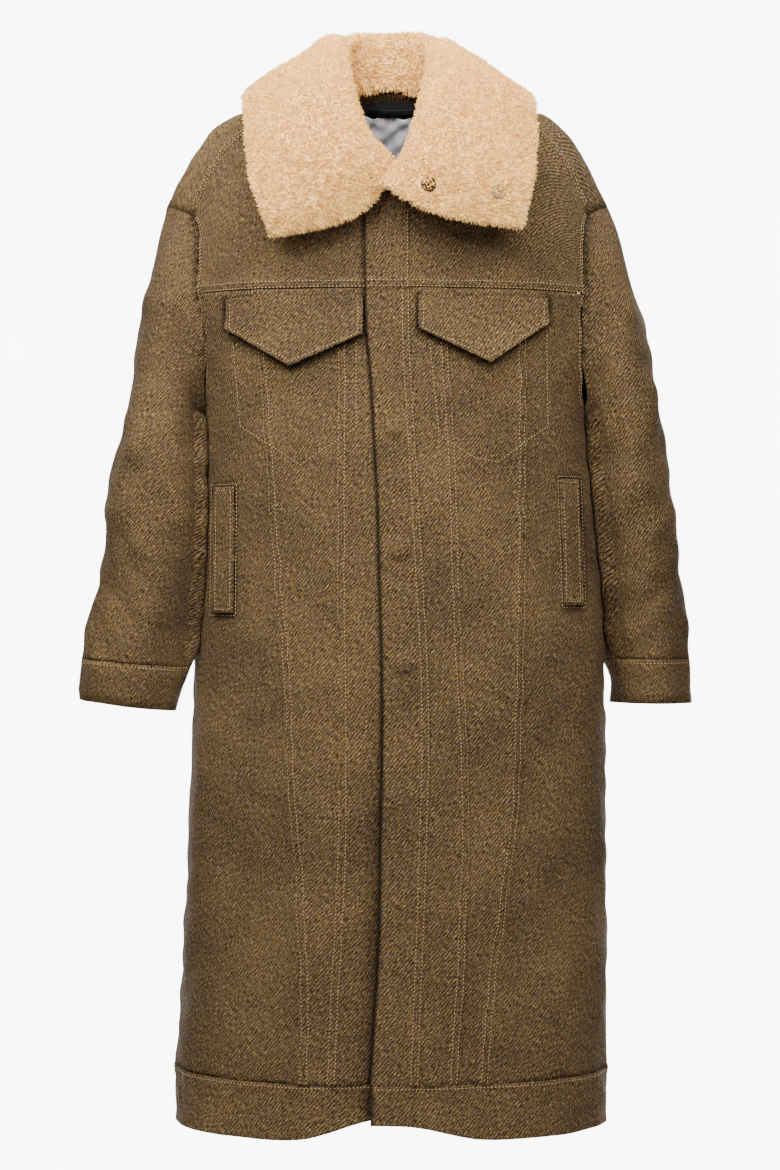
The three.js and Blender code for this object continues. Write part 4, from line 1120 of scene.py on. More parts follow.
class Sleeve:
    """One sleeve in two pieces, with its cuff."""

    HALVES = ("front", "back")
    REST_TOP = -0.357  # below the armhole the sleeve rests against the side, down to REST_LOW
    REST_LOW = -0.62
    REST_REACH = 0.022
    REST_START = 0.006
    REST_GAP = 0.0006

    def __init__(self, side: str, seed: int) -> None:
        """Measure the sleeve's middle line.

        Args:
            side: "left" or "right", the wearer's.
            seed: Fixes its small waves.
        """
        self.side = side
        self.sign = 1 if side == "left" else -1
        ends = [node_edges(f"sleeve_{side}_{half}") for half in self.HALVES]
        places = np.concatenate([(a + b) / 2 for a, b in ends])
        levels = np.arange(-0.69, -0.12, 0.02)
        rows = []
        for z in levels:
            near = places[np.abs(places[:, 2] - max(z, -0.63)) < 0.03]
            middle = (near.min(axis=0) + near.max(axis=0)) / 2
            rows.append((z, middle[0], middle[1]))
        self.line = np.array(rows)
        self.ripple = SoftNoise(seed, 0.05)
        self.drape = SoftNoise(seed + 1, 0.12)

    def ways(self, points: Points) -> Points:
        """Directions out from the sleeve's middle line.

        Args:
            points: Places on the sleeve.

        Returns:
            The way out of the sleeve at each.
        """
        ways = np.zeros_like(points)
        ways[:, 0] = points[:, 0] - np.interp(points[:, 2], self.line[:, 0], self.line[:, 1])
        ways[:, 1] = points[:, 1] - np.interp(points[:, 2], self.line[:, 0], self.line[:, 2])
        return ways / np.maximum(np.linalg.norm(ways, axis=1), 1e-6)[:, None]

    def middle(self, point: Points) -> Points:
        """The point of the middle line that is level with a point."""
        level = point[2]
        return np.array([np.interp(level, self.line[:, 0], self.line[:, k]) for k in (1, 2)] + [level])

    def relief(self, points: Points) -> Points:
        """Soft waves, calm at the armhole, with the sleeve's creases.

        Args:
            points: Places on the sleeve.

        Returns:
            How far each one is moved out, in metres.
        """
        calm = smoothstep(-0.16, -0.26, points[:, 2])
        height = calm * (0.0012 * self.ripple(points) + 0.002 * self.drape(points))
        for crease in SLEEVE_CREASES[self.side]:
            height += np.where(points[:, 1] < 0.03, crease.relief(points), 0)
        return height

    def build(self, body: Sequence[bpy.types.Object]) -> list[bpy.types.Object]:
        """Make the two halves and the cuff.

        Args:
            body: The finished pieces of the body, which the sleeve's open end is sewn to.

        Returns:
            The two halves and the cuff.
        """
        side = self.side
        armhole = (f"front_yoke_{side}", f"front_side_{side}", f"back_side_{side}", "back_yoke")
        hung = {"rests_on": ("back_yoke",), "mouth": armhole}
        front = Cloth(f"sleeve_{side}_front", (0.25, 0.5), area=0.11, **hung)
        back = Cloth(f"sleeve_{side}_back", (0.13, 0.42), levels=2, **hung)
        cuff = Cloth(f"cuff_{side}", (0.34, 0.054), levels=2, rests_on=(front.node,))
        against, _ = surface_tree(body)
        made = []
        for cloth in (front, back, cuff):
            piece = refine(cloth)
            lay_map(piece, tube_chart(self.line, self.sign * 0.4))
            shape_relief(piece, self.relief, self.ways)
            self.rest(piece, against)
            if cloth.mouth:
                sew_mouth(piece, [p for p in body if p.name.removesuffix("_cloth") in armhole])
            finish_piece(piece, [TWILL])
            declare(cloth)
            made.append(piece)
        return made

    def rest(self, piece: bpy.types.Object, against: BVHTree) -> None:
        """Let the sleeve's inner side come to lie against the coat's side.

        Args:
            piece: A sleeve piece, already in its folds.
            against: The finished body.
        """
        places = vertices(piece)
        inward = Vector((-self.sign, 0, 0))
        turned = -self.ways(places)[:, 0] * self.sign
        for i in np.flatnonzero((turned > 0.2) & (places[:, 2] < self.REST_TOP)):
            start = Vector(places[i]) - inward * self.REST_START
            spot, _, _, away = against.ray_cast(start, inward, self.REST_REACH * 2)
            if spot is None:
                continue
            gap = away - self.REST_START - self.REST_GAP
            share = smoothstep(0.2, 0.75, turned[i]) * (1 - smoothstep(0.6, 1.0, gap / self.REST_REACH))
            level = smoothstep(self.REST_TOP, self.REST_TOP - 0.012, places[i, 2])
            level *= 1 - smoothstep(self.REST_LOW, self.REST_LOW - 0.05, places[i, 2])
            places[i, 0] -= self.sign * gap * float(share * level)
        set_vertices(piece, places)


def surface_tree(pieces: Sequence[bpy.types.Object]) -> tuple[BVHTree, list[str]]:
    """Join finished pieces into one tree that rays are cast on.

    Args:
        pieces: The pieces.

    Returns:
        The tree, and for each of its faces the name of the piece that it is from.
    """
    corners: list[Vector] = []
    faces: list[list[int]] = []
    owners: list[str] = []
    for piece in pieces:
        start = len(corners)
        corners.extend(map(Vector, vertices(piece)))
        faces.extend([start + i for i in p.vertices] for p in piece.data.polygons)
        owners += [piece.name] * len(piece.data.polygons)
    return BVHTree.FromPolygons(corners, faces), owners


def spot_tree(spots: Points) -> KDTree:
    """A search tree over rows of x, y and z.

    Args:
        spots: The rows.

    Returns:
        The tree.
    """
    tree = KDTree(len(spots))
    for i, spot in enumerate(spots):
        tree.insert(spot, i)
    tree.balance()
    return tree


def sew_mouth(piece: bpy.types.Object, neighbours: Sequence[bpy.types.Object]) -> None:
    """Close the seam round a sleeve's open end, where two roundings have parted it.

    Args:
        piece: The sleeve piece, with its "mouth" and "outer" marks.
        neighbours: The pieces that it is sewn to.
    """
    places = vertices(piece)
    mouth, outer = values(piece, "mouth"), values(piece, "outer")
    theirs = np.concatenate([vertices(p) for p in neighbours])
    their_outer = np.concatenate([values(p, "outer") for p in neighbours])
    moved = places.copy()
    for own, other in ((outer > 0.5, their_outer > 0.5), (outer <= 0.5, their_outer <= 0.5)):
        rim = np.flatnonzero(own & (mouth > 0.995))
        near = np.flatnonzero(own & (mouth > 0.001))
        spots = theirs[other]
        tree = spot_tree(spots)
        pulls = np.array([spots[tree.find(p)[1]] for p in places[rim]]) - places[rim]
        lengths = np.maximum(np.linalg.norm(pulls, axis=1), 1e-9)
        pulls *= np.clip(1 - SEAM_LEFT_OPEN / lengths, 0, 1)[:, None]
        rim_tree = spot_tree(places[rim])
        nearest = np.array([rim_tree.find(p)[1] for p in places[near]])
        moved[near] = places[near] + pulls[nearest] * smoothstep(0, 1, mouth[near])[:, None]
    set_vertices(piece, moved)


SLEEVE_CREASES: dict[str, tuple[Crease, ...]] = {
    "left": (
        Crease((0.24, -0.184), (0.286, -0.368), 0.017, 0.0021),
        Crease((0.229, -0.264), (0.263, -0.425), 0.015, -0.002),
        Crease((0.332, -0.46), (0.275, -0.529), 0.015, 0.0023),
        Crease((0.344, -0.529), (0.263, -0.609), 0.015, -0.0018),
        Crease((0.252, -0.621), (0.286, -0.575), 0.011, 0.0018),
    ),
    "right": (
        Crease((-0.231, -0.172), (-0.277, -0.368), 0.017, 0.0021),
        Crease((-0.254, -0.322), (-0.289, -0.483), 0.015, -0.0019),
        Crease((-0.329, -0.46), (-0.26, -0.54), 0.015, 0.0023),
        Crease((-0.335, -0.552), (-0.254, -0.621), 0.015, -0.0018),
    ),
}


# ------------------------------------------------------------------ collar
class Collar:
    """The shearling collar: a suede underside, a clipped pile face, and tufts on it."""

    NODES = ("collar_right", "collar_left")
    CLOTH = Cloth("collar", (0.62, 0.26), rests_on=("back_yoke",))
    RIM_ANGLE = math.radians(72)
    CLUMP = 0.0003
    # Tufts for each square metre, and their size in metres and lean in radians.
    TUFTS = {"Density": 138000.0, "Height": 0.0043, "Width": 0.0021, "Lean": 0.75}
    SEEDS = (7, 8)

    def __init__(self) -> None:
        """Seed the pile's clumps."""
        self.clumps = SoftNoise(31, 0.013, 40)
        self.curls = SoftNoise(32, 0.005, 40)
        self.rolls = SoftNoise(33, 0.07)

    def build(self) -> list[bpy.types.Object]:
        """Make the hide with its pile, and the tufts on it.

        Returns:
            The hide and its tufts.
        """
        hide = refine(self.CLOTH, self.NODES, self.RIM_ANGLE)
        marks = material_marks(hide)
        normals = np.empty(len(hide.data.vertices) * 3)
        hide.data.vertex_normals.foreach_get("vector", normals)
        normals = normals.reshape(-1, 3)
        pile = np.zeros(len(hide.data.vertices))
        for polygon, mark in zip(hide.data.polygons, marks):
            if mark == 0:
                pile[list(polygon.vertices)] = 1
        places = vertices(hide)
        height = self.CLUMP * (self.clumps(places) + 0.5 * self.curls(places)) + 0.0007 * self.rolls(places)
        set_vertices(hide, places + normals * (height * pile)[:, None])
        finish_piece(hide, [PILE, SUEDE])
        declare(self.CLOTH, nodes=self.NODES)
        return [hide, *(self.tufts(hide, seed) for seed in self.SEEDS)]

    def tufts(self, hide: bpy.types.Object, seed: int) -> bpy.types.Object:
        """Set short tufts on the pile side and the rims of the finished hide.

        Args:
            hide: The finished hide.
            seed: The seed of where they stand.

        Returns:
            The tufts as one piece.
        """
        shape = bmesh.new()
        shape.from_mesh(hide.data)
        bare = [f for f in shape.faces if f.material_index == 1]
        for name in Snaps.NAMES:
            low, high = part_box(name)
            reach = max(high.x - low.x, high.z - low.z) / 2 + Snaps.CLEARING
            bare += [f for f in shape.faces if (f.calc_center_median() - (low + high) / 2).length < reach]
        bmesh.ops.delete(shape, geom=list(set(bare)), context="FACES")
        mesh = bpy.data.meshes.new("tufts_base")
        shape.to_mesh(mesh)
        shape.free()
        base = bpy.data.objects.new("tufts_base", mesh)
        bpy.context.scene.collection.objects.link(base)
        set_nodes(base, tuft_nodes(), {**self.TUFTS, "Seed": seed})
        made = bake(base, f"collar_tufts_{seed}")
        finish_piece(made, [PILE])
        return made


# ------------------------------------------------------------------ painted shade in deep seams
class PaintedSeamShade:
    """The shade attribute, painted shade: dark inside the armhole seams, beside the lap and under the flaps,
    where shadow falls.
    """

    # Painted shade along each line: its half width in metres, and how dark it gets.
    ARMHOLE = (0.0044, 0.97)  # half width in metres, and how dark
    LAP = (0.0022, 0.97)
    FLAP = (0.0042, 0.9)

    def __init__(self, body: Body) -> None:
        """Gather the lines of painted shade, each as points with a width and a darkness.

        Args:
            body: The finished pieces of the body.
        """
        self.lines: list[tuple[Points, tuple[float, float], bool]] = []
        for side in ("left", "right"):
            rim = node_edges(f"sleeve_{side}_front")
            spots = np.concatenate([rim[0], (rim[0] + rim[1]) / 2, rim[1]])
            shell = (f"front_yoke_{side}", f"front_side_{side}", "back_yoke")
            spots = spots[near_nodes(spots, shell, 0.0035)]
            self.lines.append((spots, self.ARMHOLE, False))
            for kind in ("chest_flap", "welt"):
                outline = front_outline(f"{kind}_{side}")
                self.lines.append((np.array([(x, -0.13, z) for x, z in outline]), self.FLAP, True))
        z = np.arange(HEM_SEAM_Z - 0.06, -0.15, 0.002)
        lap = body.lap
        self.lines.append((np.stack([lap.x(z), np.full_like(z, -0.145), z], axis=1), self.LAP, True))

    def lay(self, piece: bpy.types.Object) -> None:
        """Write the painted shade attribute on a finished piece.

        Args:
            piece: The piece to darken with painted shade.
        """
        places = vertices(piece)
        shade = np.zeros(len(places))
        on_flap = piece.name.startswith(("chest_flap", "welt"))
        for line, (width, painted_dark), flat in self.lines:
            if flat and on_flap:
                continue
            if flat:
                flat_line = dense(line, 0.001)
                spots, seen = flat_line * [1, 0, 1], places * [1, 0, 1]
                reach = places[:, 1] < -0.05
            else:
                spots, seen, reach = line, places, np.ones(len(places), dtype=bool)
            tree = spot_tree(spots)
            low, high = spots.min(axis=0) - 0.02, spots.max(axis=0) + 0.02
            near = np.flatnonzero(reach & ((seen >= low) & (seen <= high)).all(axis=1))
            away = np.array([tree.find(p)[2] for p in seen[near]])
            if len(near):
                shade[near] = np.maximum(shade[near], painted_dark * np.exp(-((away / width) ** 2)))
        layer = piece.data.attributes.new("shade", "FLOAT", "POINT")
        layer.data.foreach_set("value", shade.astype(np.float32))


# ------------------------------------------------------------------ topstitching
@dataclass(frozen=True)
class StitchSizes:
    """One stitch and its rows, in metres."""

    pitch: float = 0.0042
    length: float = 0.003
    width: float = 0.0011
    height: float = 0.001
    rise: float = 0.0002
    near: float = 0.0018
    far: float = 0.0083


@dataclass
class Row:
    """One row of stitches: places near the cloth, the ways out of it and the pieces it may lie on."""

    places: Points
    ways: Points
    on: tuple[str, ...]


@dataclass(frozen=True)
class Bead:
    """One small form that is repeated along the rows.

    Attributes:
        name: The piece that the beads make together.
        material: Its material.
        length: Size along the row in metres.
        width: Size across the row.
        height: Size out from the cloth.
        sides: Facets round it.
        rings: Facets from its top to its foot.
    """

    name: str
    material: bpy.types.Material
    length: float
    width: float
    height: float
    sides: int = 4
    rings: int = 2


class Topstitching:
    """Tan thread along the seams, flaps, welts and pocket bags."""

    # Outlines of the chest pocket bags, seen from the front, in metres.
    RIGHT_BAG = ((-0.176, -0.291), (-0.168, -0.381), (-0.1, -0.425), (-0.059, -0.398), (-0.0385, -0.385))
    LEFT_BAG = ((0.0424, -0.291), (0.0528, -0.393), (0.09, -0.416), (0.118, -0.422), (0.1535, -0.395))
    BAGS = ((*RIGHT_BAG, (-0.0385, -0.29)), (*LEFT_BAG, (0.175, -0.381), (0.173, -0.277)))
    BODY = ("front_", "back_", "placket", "hem_band")
    FLAP_INSET = 0.0055
    WELT_INSET = 0.004
    LONGEST_STEP = 0.009
    SHOULDER_LOWEST = -0.135

    def __init__(self, sizes: StitchSizes, body: Body, cloths: Sequence[bpy.types.Object]) -> None:
        """Join the finished cloth into one tree that the rows are laid on.

        Args:
            sizes: Size of a stitch.
            body: The body, which knows its seams.
            cloths: All finished cloth pieces.
        """
        self.sizes = sizes
        self.body = body
        self.tree, self.owners = surface_tree(cloths)
        self.rows: list[Row] = []

    def add(self, places: Points, ways: Points | None = None, on: tuple[str, ...] = BODY) -> None:
        """Add a row.

        Args:
            places: Points near the cloth.
            ways: Their ways out of the cloth, or None for the body's own.
            on: How the names of the pieces that it may lie on start.
        """
        self.rows.append(Row(places, outward(places) if ways is None else ways, on))

    def add_front(self, line: Sequence[Sequence[float]], on: tuple[str, ...] = BODY) -> None:
        """Add a row that is given as seen from the front, by x and z."""
        spots = dense(np.array([(x, -0.14, z) for x, z in line]), 0.002)
        self.add(spots, np.tile([0.0, -1.0, 0.0], (len(spots), 1)), on)

    def add_round(self, arcs: Points, z: Points) -> None:
        """Add a row that is given by arc length round the body and height."""
        turns = np.interp(arcs, BODY_RING.lengths, BODY_RING.angles)
        ways = np.stack([np.sin(turns), -np.cos(turns), np.zeros_like(turns)], axis=1)
        self.add(ways * 0.2 + np.stack([0 * z, 0 * z, z], axis=1), ways)

    def seams(self) -> None:
        """Lay two rows beside every upright seam of the fronts."""
        for name, seam in self.body.seams.items():
            z = np.arange(HEM_SEAM_Z + 0.001, YOKE_Z - 0.001, 0.002)
            for away in (self.sizes.near, self.sizes.far):
                self.add_round(seam.arc(z) + self.body.ridge_sides[name] * away, z)
        for node, edge, way in (("back_side_left", Edge.LOW, 1), ("back_side_right", Edge.HIGH, -1)):
            seam = Seam(node, edge)
            z = np.arange(HEM_SEAM_Z + 0.001, seam.z[-1], 0.002)
            for away in (self.sizes.near, self.sizes.far):
                self.add_round(seam.arc(z) + way * away, z)
        upper = Seam("front_yoke_left", Edge.LOW)
        self.add_front([(upper.x(z) - self.sizes.near, z) for z in np.arange(YOKE_Z, -0.14, 0.004)])

    def bands(self) -> None:
        """Lay the rows of the yoke seams and the hem band."""
        reach = BODY_RING.length / 2
        armhole = {side: abs(float(body_arc(self.edge(side)[:1])[0])) - 0.002 for side in ("left", "right")}
        arcs = np.arange(-armhole["right"], armhole["left"], 0.002)
        for away in (self.sizes.near, self.sizes.far):
            self.add_round(arcs, np.full_like(arcs, YOKE_Z + away))
            behind = np.arange(armhole["left"] * 1.18, 2 * reach - armhole["right"] * 1.18, 0.002)
            around = np.where(behind > reach, behind - 2 * reach, behind)
            for part in np.split(around, np.flatnonzero(np.diff(around) < 0) + 1):
                self.add_round(part, np.full_like(part, YOKE_Z + away))
        lap = float(body_arc(np.array([[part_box("hem_band_left")[0].x, -0.147, HEM_SEAM_Z]]))[0])
        for arcs in (np.arange(lap + 0.003, reach, 0.002), np.arange(-reach, lap - 0.002, 0.002)):
            self.add_round(arcs, np.full_like(arcs, HEM_SEAM_Z - self.sizes.near * 2))

    @staticmethod
    def edge(side: str) -> Points:
        """The front armhole's edge along the front yoke, from the yoke seam up."""
        end = Edge.HIGH if side == "left" else Edge.LOW
        upper = Seam(f"front_yoke_{side}", end, 0.004).points
        return upper[upper[:, 2] < Topstitching.SHOULDER_LOWEST]

    def armholes(self) -> None:
        """Lay the rows inside the armhole seams at the front."""
        for side, sign in (("left", 1), ("right", -1)):
            lower = Seam(f"front_side_{side}", Edge.HIGH if sign > 0 else Edge.LOW, 0.004).points
            lower = lower[(lower[:, 2] > UNDERARM_Z + 0.012)]
            line = np.concatenate([lower, self.edge(side)])
            for away in (self.sizes.near * 2, self.sizes.far * 1.2):
                places = line.copy()
                arcs = body_arc(line)
                places[:, 0] -= sign * away * np.clip(-line[:, 1] / 0.11, 0.35, 1)
                places[:, 1] -= away * 0.5 * (np.abs(arcs) > 0.25)
                self.add(dense(places, 0.002))

    def shoulders(self) -> None:
        """Lay the rows beside the forward shoulder seams."""
        for side in ("left", "right"):
            line = top_edge(f"front_yoke_{side}")
            ways = outward(line)
            along = np.gradient(line, axis=0)
            along /= np.linalg.norm(along, axis=1)[:, None]
            across = np.cross(along, ways)
            across *= np.sign(across[:, 2:3])
            for away in (self.sizes.near, self.sizes.far):
                self.add(line + across * away, ways)

    def pockets(self) -> None:
        """Lay the rows on the flaps, on and round the welts, and round the pocket bags."""
        for side in ("left", "right"):
            flap = front_outline(f"chest_flap_{side}")
            self.add_front(shrink(flap, self.FLAP_INSET), ("chest_flap",))
            welt = front_outline(f"welt_{side}")
            closed = [*shrink(welt, self.WELT_INSET), shrink(welt, self.WELT_INSET)[0]]
            self.add_front(closed, ("welt",))
            around = shrink(welt, -self.WELT_INSET * 0.7)
            self.add_front([*around, around[0]])
        for bag in self.BAGS:
            self.add_front(bag)

    def cuffs(self, sleeves: Sequence[Sleeve]) -> None:
        """Lay one row below each cuff seam.

        Args:
            sleeves: The two sleeves.
        """
        for sleeve in sleeves:
            a, b = node_edges(f"cuff_{sleeve.side}")
            spots = np.concatenate([a, b])
            ways = sleeve.ways(spots)
            turns = np.arctan2(ways[:, 0], -ways[:, 1])
            rows = []
            for turn in np.linspace(-math.pi, math.pi, 40):
                near = np.abs((turns - turn + math.pi) % (2 * math.pi) - math.pi) < 0.25
                top = spots[near][spots[near][:, 2].argmax()]
                reach = np.linalg.norm((top - sleeve.middle(top))[:2])
                place = sleeve.middle(top) + np.array([math.sin(turn) * reach, -math.cos(turn) * reach, 0])
                rows.append((*place[:2], top[2] - 0.0045))
            line = dense(np.array(rows), 0.002)
            self.add(line, sleeve.ways(line), ("cuff",))

    def build(self, sleeves: Sequence[Sleeve]) -> list[bpy.types.Object]:
        """Lay all rows on the cloth and make their stitches and the painted shadow along each row.

        Args:
            sleeves: The two sleeves.

        Returns:
            The thread and the painted row shadows.
        """
        self.seams()
        self.bands()
        self.armholes()
        self.shoulders()
        self.pockets()
        self.cuffs(sleeves)
        lines = [stretch for row in self.rows for stretch in self.land(row)]
        sizes = self.sizes
        thread = Bead("topstitching", THREAD, sizes.length, sizes.width, sizes.height, sides=5, rings=3)
        # Painted shadow: a near black bead under each stitch, a little longer and wider, for the shade in
        # the row's pressed groove.
        row_shadow = Bead("pressed_rows", ROW_SHADOW, sizes.pitch * 1.1, sizes.width * 1.9, sizes.height * 0.4)
        return [self.beads(bead, lines) for bead in (thread, row_shadow)]

    def beads(self, bead: Bead, lines: Sequence[tuple[Points, Points]]) -> bpy.types.Object:
        """Make a bead in the middle of every pitch along the landed rows.

        Args:
            bead: The form to repeat.
            lines: The rows' places and normals on the cloth.

        Returns:
            The beads as one piece.
        """
        name = bead.name
        spots, along, up = [], [], []
        for line, normals in lines:
            lengths = np.concatenate([[0], np.cumsum(np.linalg.norm(np.diff(line, axis=0), axis=1))])
            at = np.arange(self.sizes.pitch * 0.5, lengths[-1], self.sizes.pitch)
            read = [np.interp(at, lengths, line[:, k]) for k in range(3)]
            ahead = [np.interp(at + 0.001, lengths, line[:, k]) for k in range(3)]
            spots.append(np.stack(read, axis=1))
            along.append(np.stack(ahead, axis=1) - spots[-1])
            up.append(np.stack([np.interp(at, lengths, normals[:, k]) for k in range(3)], axis=1))
        spots, along, up = (np.concatenate(part) for part in (spots, along, up))
        mesh = bpy.data.meshes.new(name + "_spots")
        mesh.from_pydata([tuple(p) for p in spots], [], [])
        for label, rows in (("along", along), ("up", up)):
            mesh.attributes.new(label, "FLOAT_VECTOR", "POINT").data.foreach_set("vector", rows.ravel())
        base = bpy.data.objects.new(name + "_spots", mesh)
        bpy.context.scene.collection.objects.link(base)
        sizes = {"Length": bead.length, "Width": bead.width, "Height": bead.height}
        set_nodes(base, stitch_nodes(bead.material), {**sizes, "Sides": bead.sides, "Rings": bead.rings})
        made = bake(base, name)
        finish_piece(made, [bead.material])
        return made

    def land(self, row: Row) -> list[tuple[Points, Points]]:
        """Drop a row onto the cloth from outside.

        Args:
            row: The row.

        Returns:
            Stretches of places on the row's own pieces, each with the cloth's normals there.
        """
        stretches, met, normals = [], [], []
        for place, way in zip(row.places, row.ways):
            spot, normal, face, _ = self.tree.ray_cast(Vector(place + way * 0.06), Vector(-way), 0.2)
            good = spot is not None and normal.dot(Vector(way)) > 0.15
            good = good and self.owners[face].startswith(row.on)
            if met and (not good or (spot - met[-1]).length > self.LONGEST_STEP):
                stretches.append((np.array(met), np.array(normals)))
                met, normals = [], []
            if good:
                met.append(spot + normal * self.sizes.rise)
                normals.append(normal)
        stretches.append((np.array(met), np.array(normals)))
        return [stretch for stretch in stretches if len(stretch[0]) > 3]


def dense(line: Points, step: float) -> Points:
    """Fill a polyline up with points that are about a step apart."""
    lengths = np.concatenate([[0], np.cumsum(np.linalg.norm(np.diff(line, axis=0), axis=1))])
    at = np.linspace(0, lengths[-1], max(2, int(lengths[-1] / step)))
    return np.stack([np.interp(at, lengths, line[:, k]) for k in range(line.shape[1])], axis=1)


def top_edge(node: str) -> Points:
    """The highest place of each upright cut through a CAD node, from low x to high x.

    Args:
        node: The CAD node.

    Returns:
        The edge's points in order.
    """
    low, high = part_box(node)
    a, b = node_edges(node)
    rows = []
    for x in np.arange(low.x + 0.004, high.x - 0.004, 0.003):
        across = (a[:, 0] - x) * (b[:, 0] - x) <= 0
        from_, to = a[across], b[across]
        span = to[:, 0] - from_[:, 0]
        t = (x - from_[:, 0]) / np.where(np.abs(span) < 1e-9, 1e-9, span)
        cut = from_ + (to - from_) * np.clip(t, 0, 1)[:, None]
        rows.append(cut[cut[:, 2].argmax()])
    return np.array(rows)


def front_outline(node: str) -> list[tuple[float, float]]:
    """The lower outline of a flap or the whole one of a welt, seen from the front, as its corners.

    Args:
        node: The CAD node.

    Returns:
        Its corners, by x and z.
    """
    a, b = node_edges(node)
    spots = np.unique(np.round(np.concatenate([a, b])[:, [0, 2]], 5), axis=0)
    left, right = spots[spots[:, 0].argmin()], spots[spots[:, 0].argmax()]
    top, bottom = spots[:, 1].max(), spots[:, 1].min()
    if node.startswith("chest_flap"):
        tip = spots[spots[:, 1].argmin()]
        ends = []
        for x in (left[0], right[0]):
            near = spots[np.abs(spots[:, 0] - x) < 0.004]
            ends.append((float(x), float(near[:, 1].min())))
        left, right = ((end[0], float(top)) for end in ends)
        return [left, ends[0], (float(tip[0]), float(tip[1])), ends[1], right]
    low = spots[np.abs(spots[:, 1] - bottom) < 0.002][:, 0]
    high = spots[np.abs(spots[:, 1] - top) < 0.002][:, 0]
    corners = [(low.min(), bottom), (low.max(), bottom), (high.max(), top), (high.min(), top)]
    return [(float(x), float(z)) for x, z in corners]


def shrink(outline: Sequence[tuple[float, float]], inset: float) -> list[tuple[float, float]]:
    """Move an outline's corners towards its middle, or out for a negative inset.

    Args:
        outline: Corners by x and z.
        inset: How far in they move, in metres.

    Returns:
        The moved corners.
    """
    spots = np.array(outline)
    middle = (spots.min(axis=0) + spots.max(axis=0)) / 2
    half = (spots.max(axis=0) - spots.min(axis=0)) / 2
    return [tuple(p) for p in middle + (spots - middle) * (1 - inset / half)]


# ------------------------------------------------------------------ geometry nodes
OpenTree = tuple[bpy.types.NodeTree, bpy.types.Node, bpy.types.Node]


def set_nodes(base: bpy.types.Object, tree: bpy.types.NodeTree, inputs: dict[str, float]) -> None:
    """Put a node tree on an object and set its named inputs.

    Args:
        base: The object.
        tree: The tree.
        inputs: A value for each name.
    """
    modifier = base.modifiers.new("nodes", "NODES")
    modifier.node_group = tree
    for item in tree.interface.items_tree:
        if item.item_type == "SOCKET" and item.in_out == "INPUT" and item.name in inputs:
            modifier[item.identifier] = inputs[item.name]


def new_nodes(name: str, inputs: Sequence[tuple[str, str]]) -> OpenTree:
    """Start a geometry tree with named inputs.

    Args:
        name: The tree's name.
        inputs: Names of the inputs, each with its kind of socket.

    Returns:
        The tree, its input node and its output node.
    """
    tree = bpy.data.node_groups.new(name, "GeometryNodeTree")
    tree.interface.new_socket("Geometry", in_out="INPUT", socket_type="NodeSocketGeometry")
    for label, kind in inputs:
        tree.interface.new_socket(label, in_out="INPUT", socket_type=kind)
    tree.interface.new_socket("Geometry", in_out="OUTPUT", socket_type="NodeSocketGeometry")
    return tree, tree.nodes.new("NodeGroupInput"), tree.nodes.new("NodeGroupOutput")


def close_nodes(
    tree: bpy.types.NodeTree,
    end: bpy.types.Node,
    instances: bpy.types.NodeSocket,
    material: bpy.types.Material,
) -> None:
    """End a tree with real geometry and its material.

    Args:
        tree: The tree.
        end: Its output node.
        instances: The instances to turn to real geometry.
        material: What they are made of.
    """
    real = add_node(tree, "GeometryNodeRealizeInstances", {"Geometry": instances})
    painted = add_node(tree, "GeometryNodeSetMaterial", {"Geometry": real.outputs[0], "Material": material})
    tree.links.new(painted.outputs[0], end.inputs[0])


def stitch_nodes(material: bpy.types.Material) -> bpy.types.NodeTree:
    """A bead of one material on every point, laid along the row and up from the cloth.

    Args:
        material: What the beads are made of.

    Returns:
        The tree.
    """
    inputs = [(label, "NodeSocketFloat") for label in ("Length", "Width", "Height")]
    inputs += [(label, "NodeSocketInt") for label in ("Sides", "Rings")]
    tree, start, end = new_nodes("stitches", inputs)
    along = add_node(tree, "GeometryNodeInputNamedAttribute", {"Name": "along"}, data_type="FLOAT_VECTOR")
    up = add_node(tree, "GeometryNodeInputNamedAttribute", {"Name": "up"}, data_type="FLOAT_VECTOR")
    turn = add_node(
        tree,
        "FunctionNodeAxesToRotation",
        {"Primary Axis": along.outputs["Attribute"], "Secondary Axis": up.outputs["Attribute"]},
        primary_axis="X",
        secondary_axis="Z",
    )
    facets = {"Segments": start.outputs["Sides"], "Rings": start.outputs["Rings"]}
    bead = add_node(tree, "GeometryNodeMeshUVSphere", {"Radius": 0.5, **facets})
    size = add_node(
        tree,
        "ShaderNodeCombineXYZ",
        {"X": start.outputs["Length"], "Y": start.outputs["Width"], "Z": start.outputs["Height"]},
    )
    placed = add_node(
        tree,
        "GeometryNodeInstanceOnPoints",
        {
            "Points": start.outputs["Geometry"],
            "Instance": bead.outputs["Mesh"],
            "Rotation": turn.outputs["Rotation"],
            "Scale": size.outputs["Vector"],
        },
    )
    close_nodes(tree, end, placed.outputs["Instances"], material)
    return tree


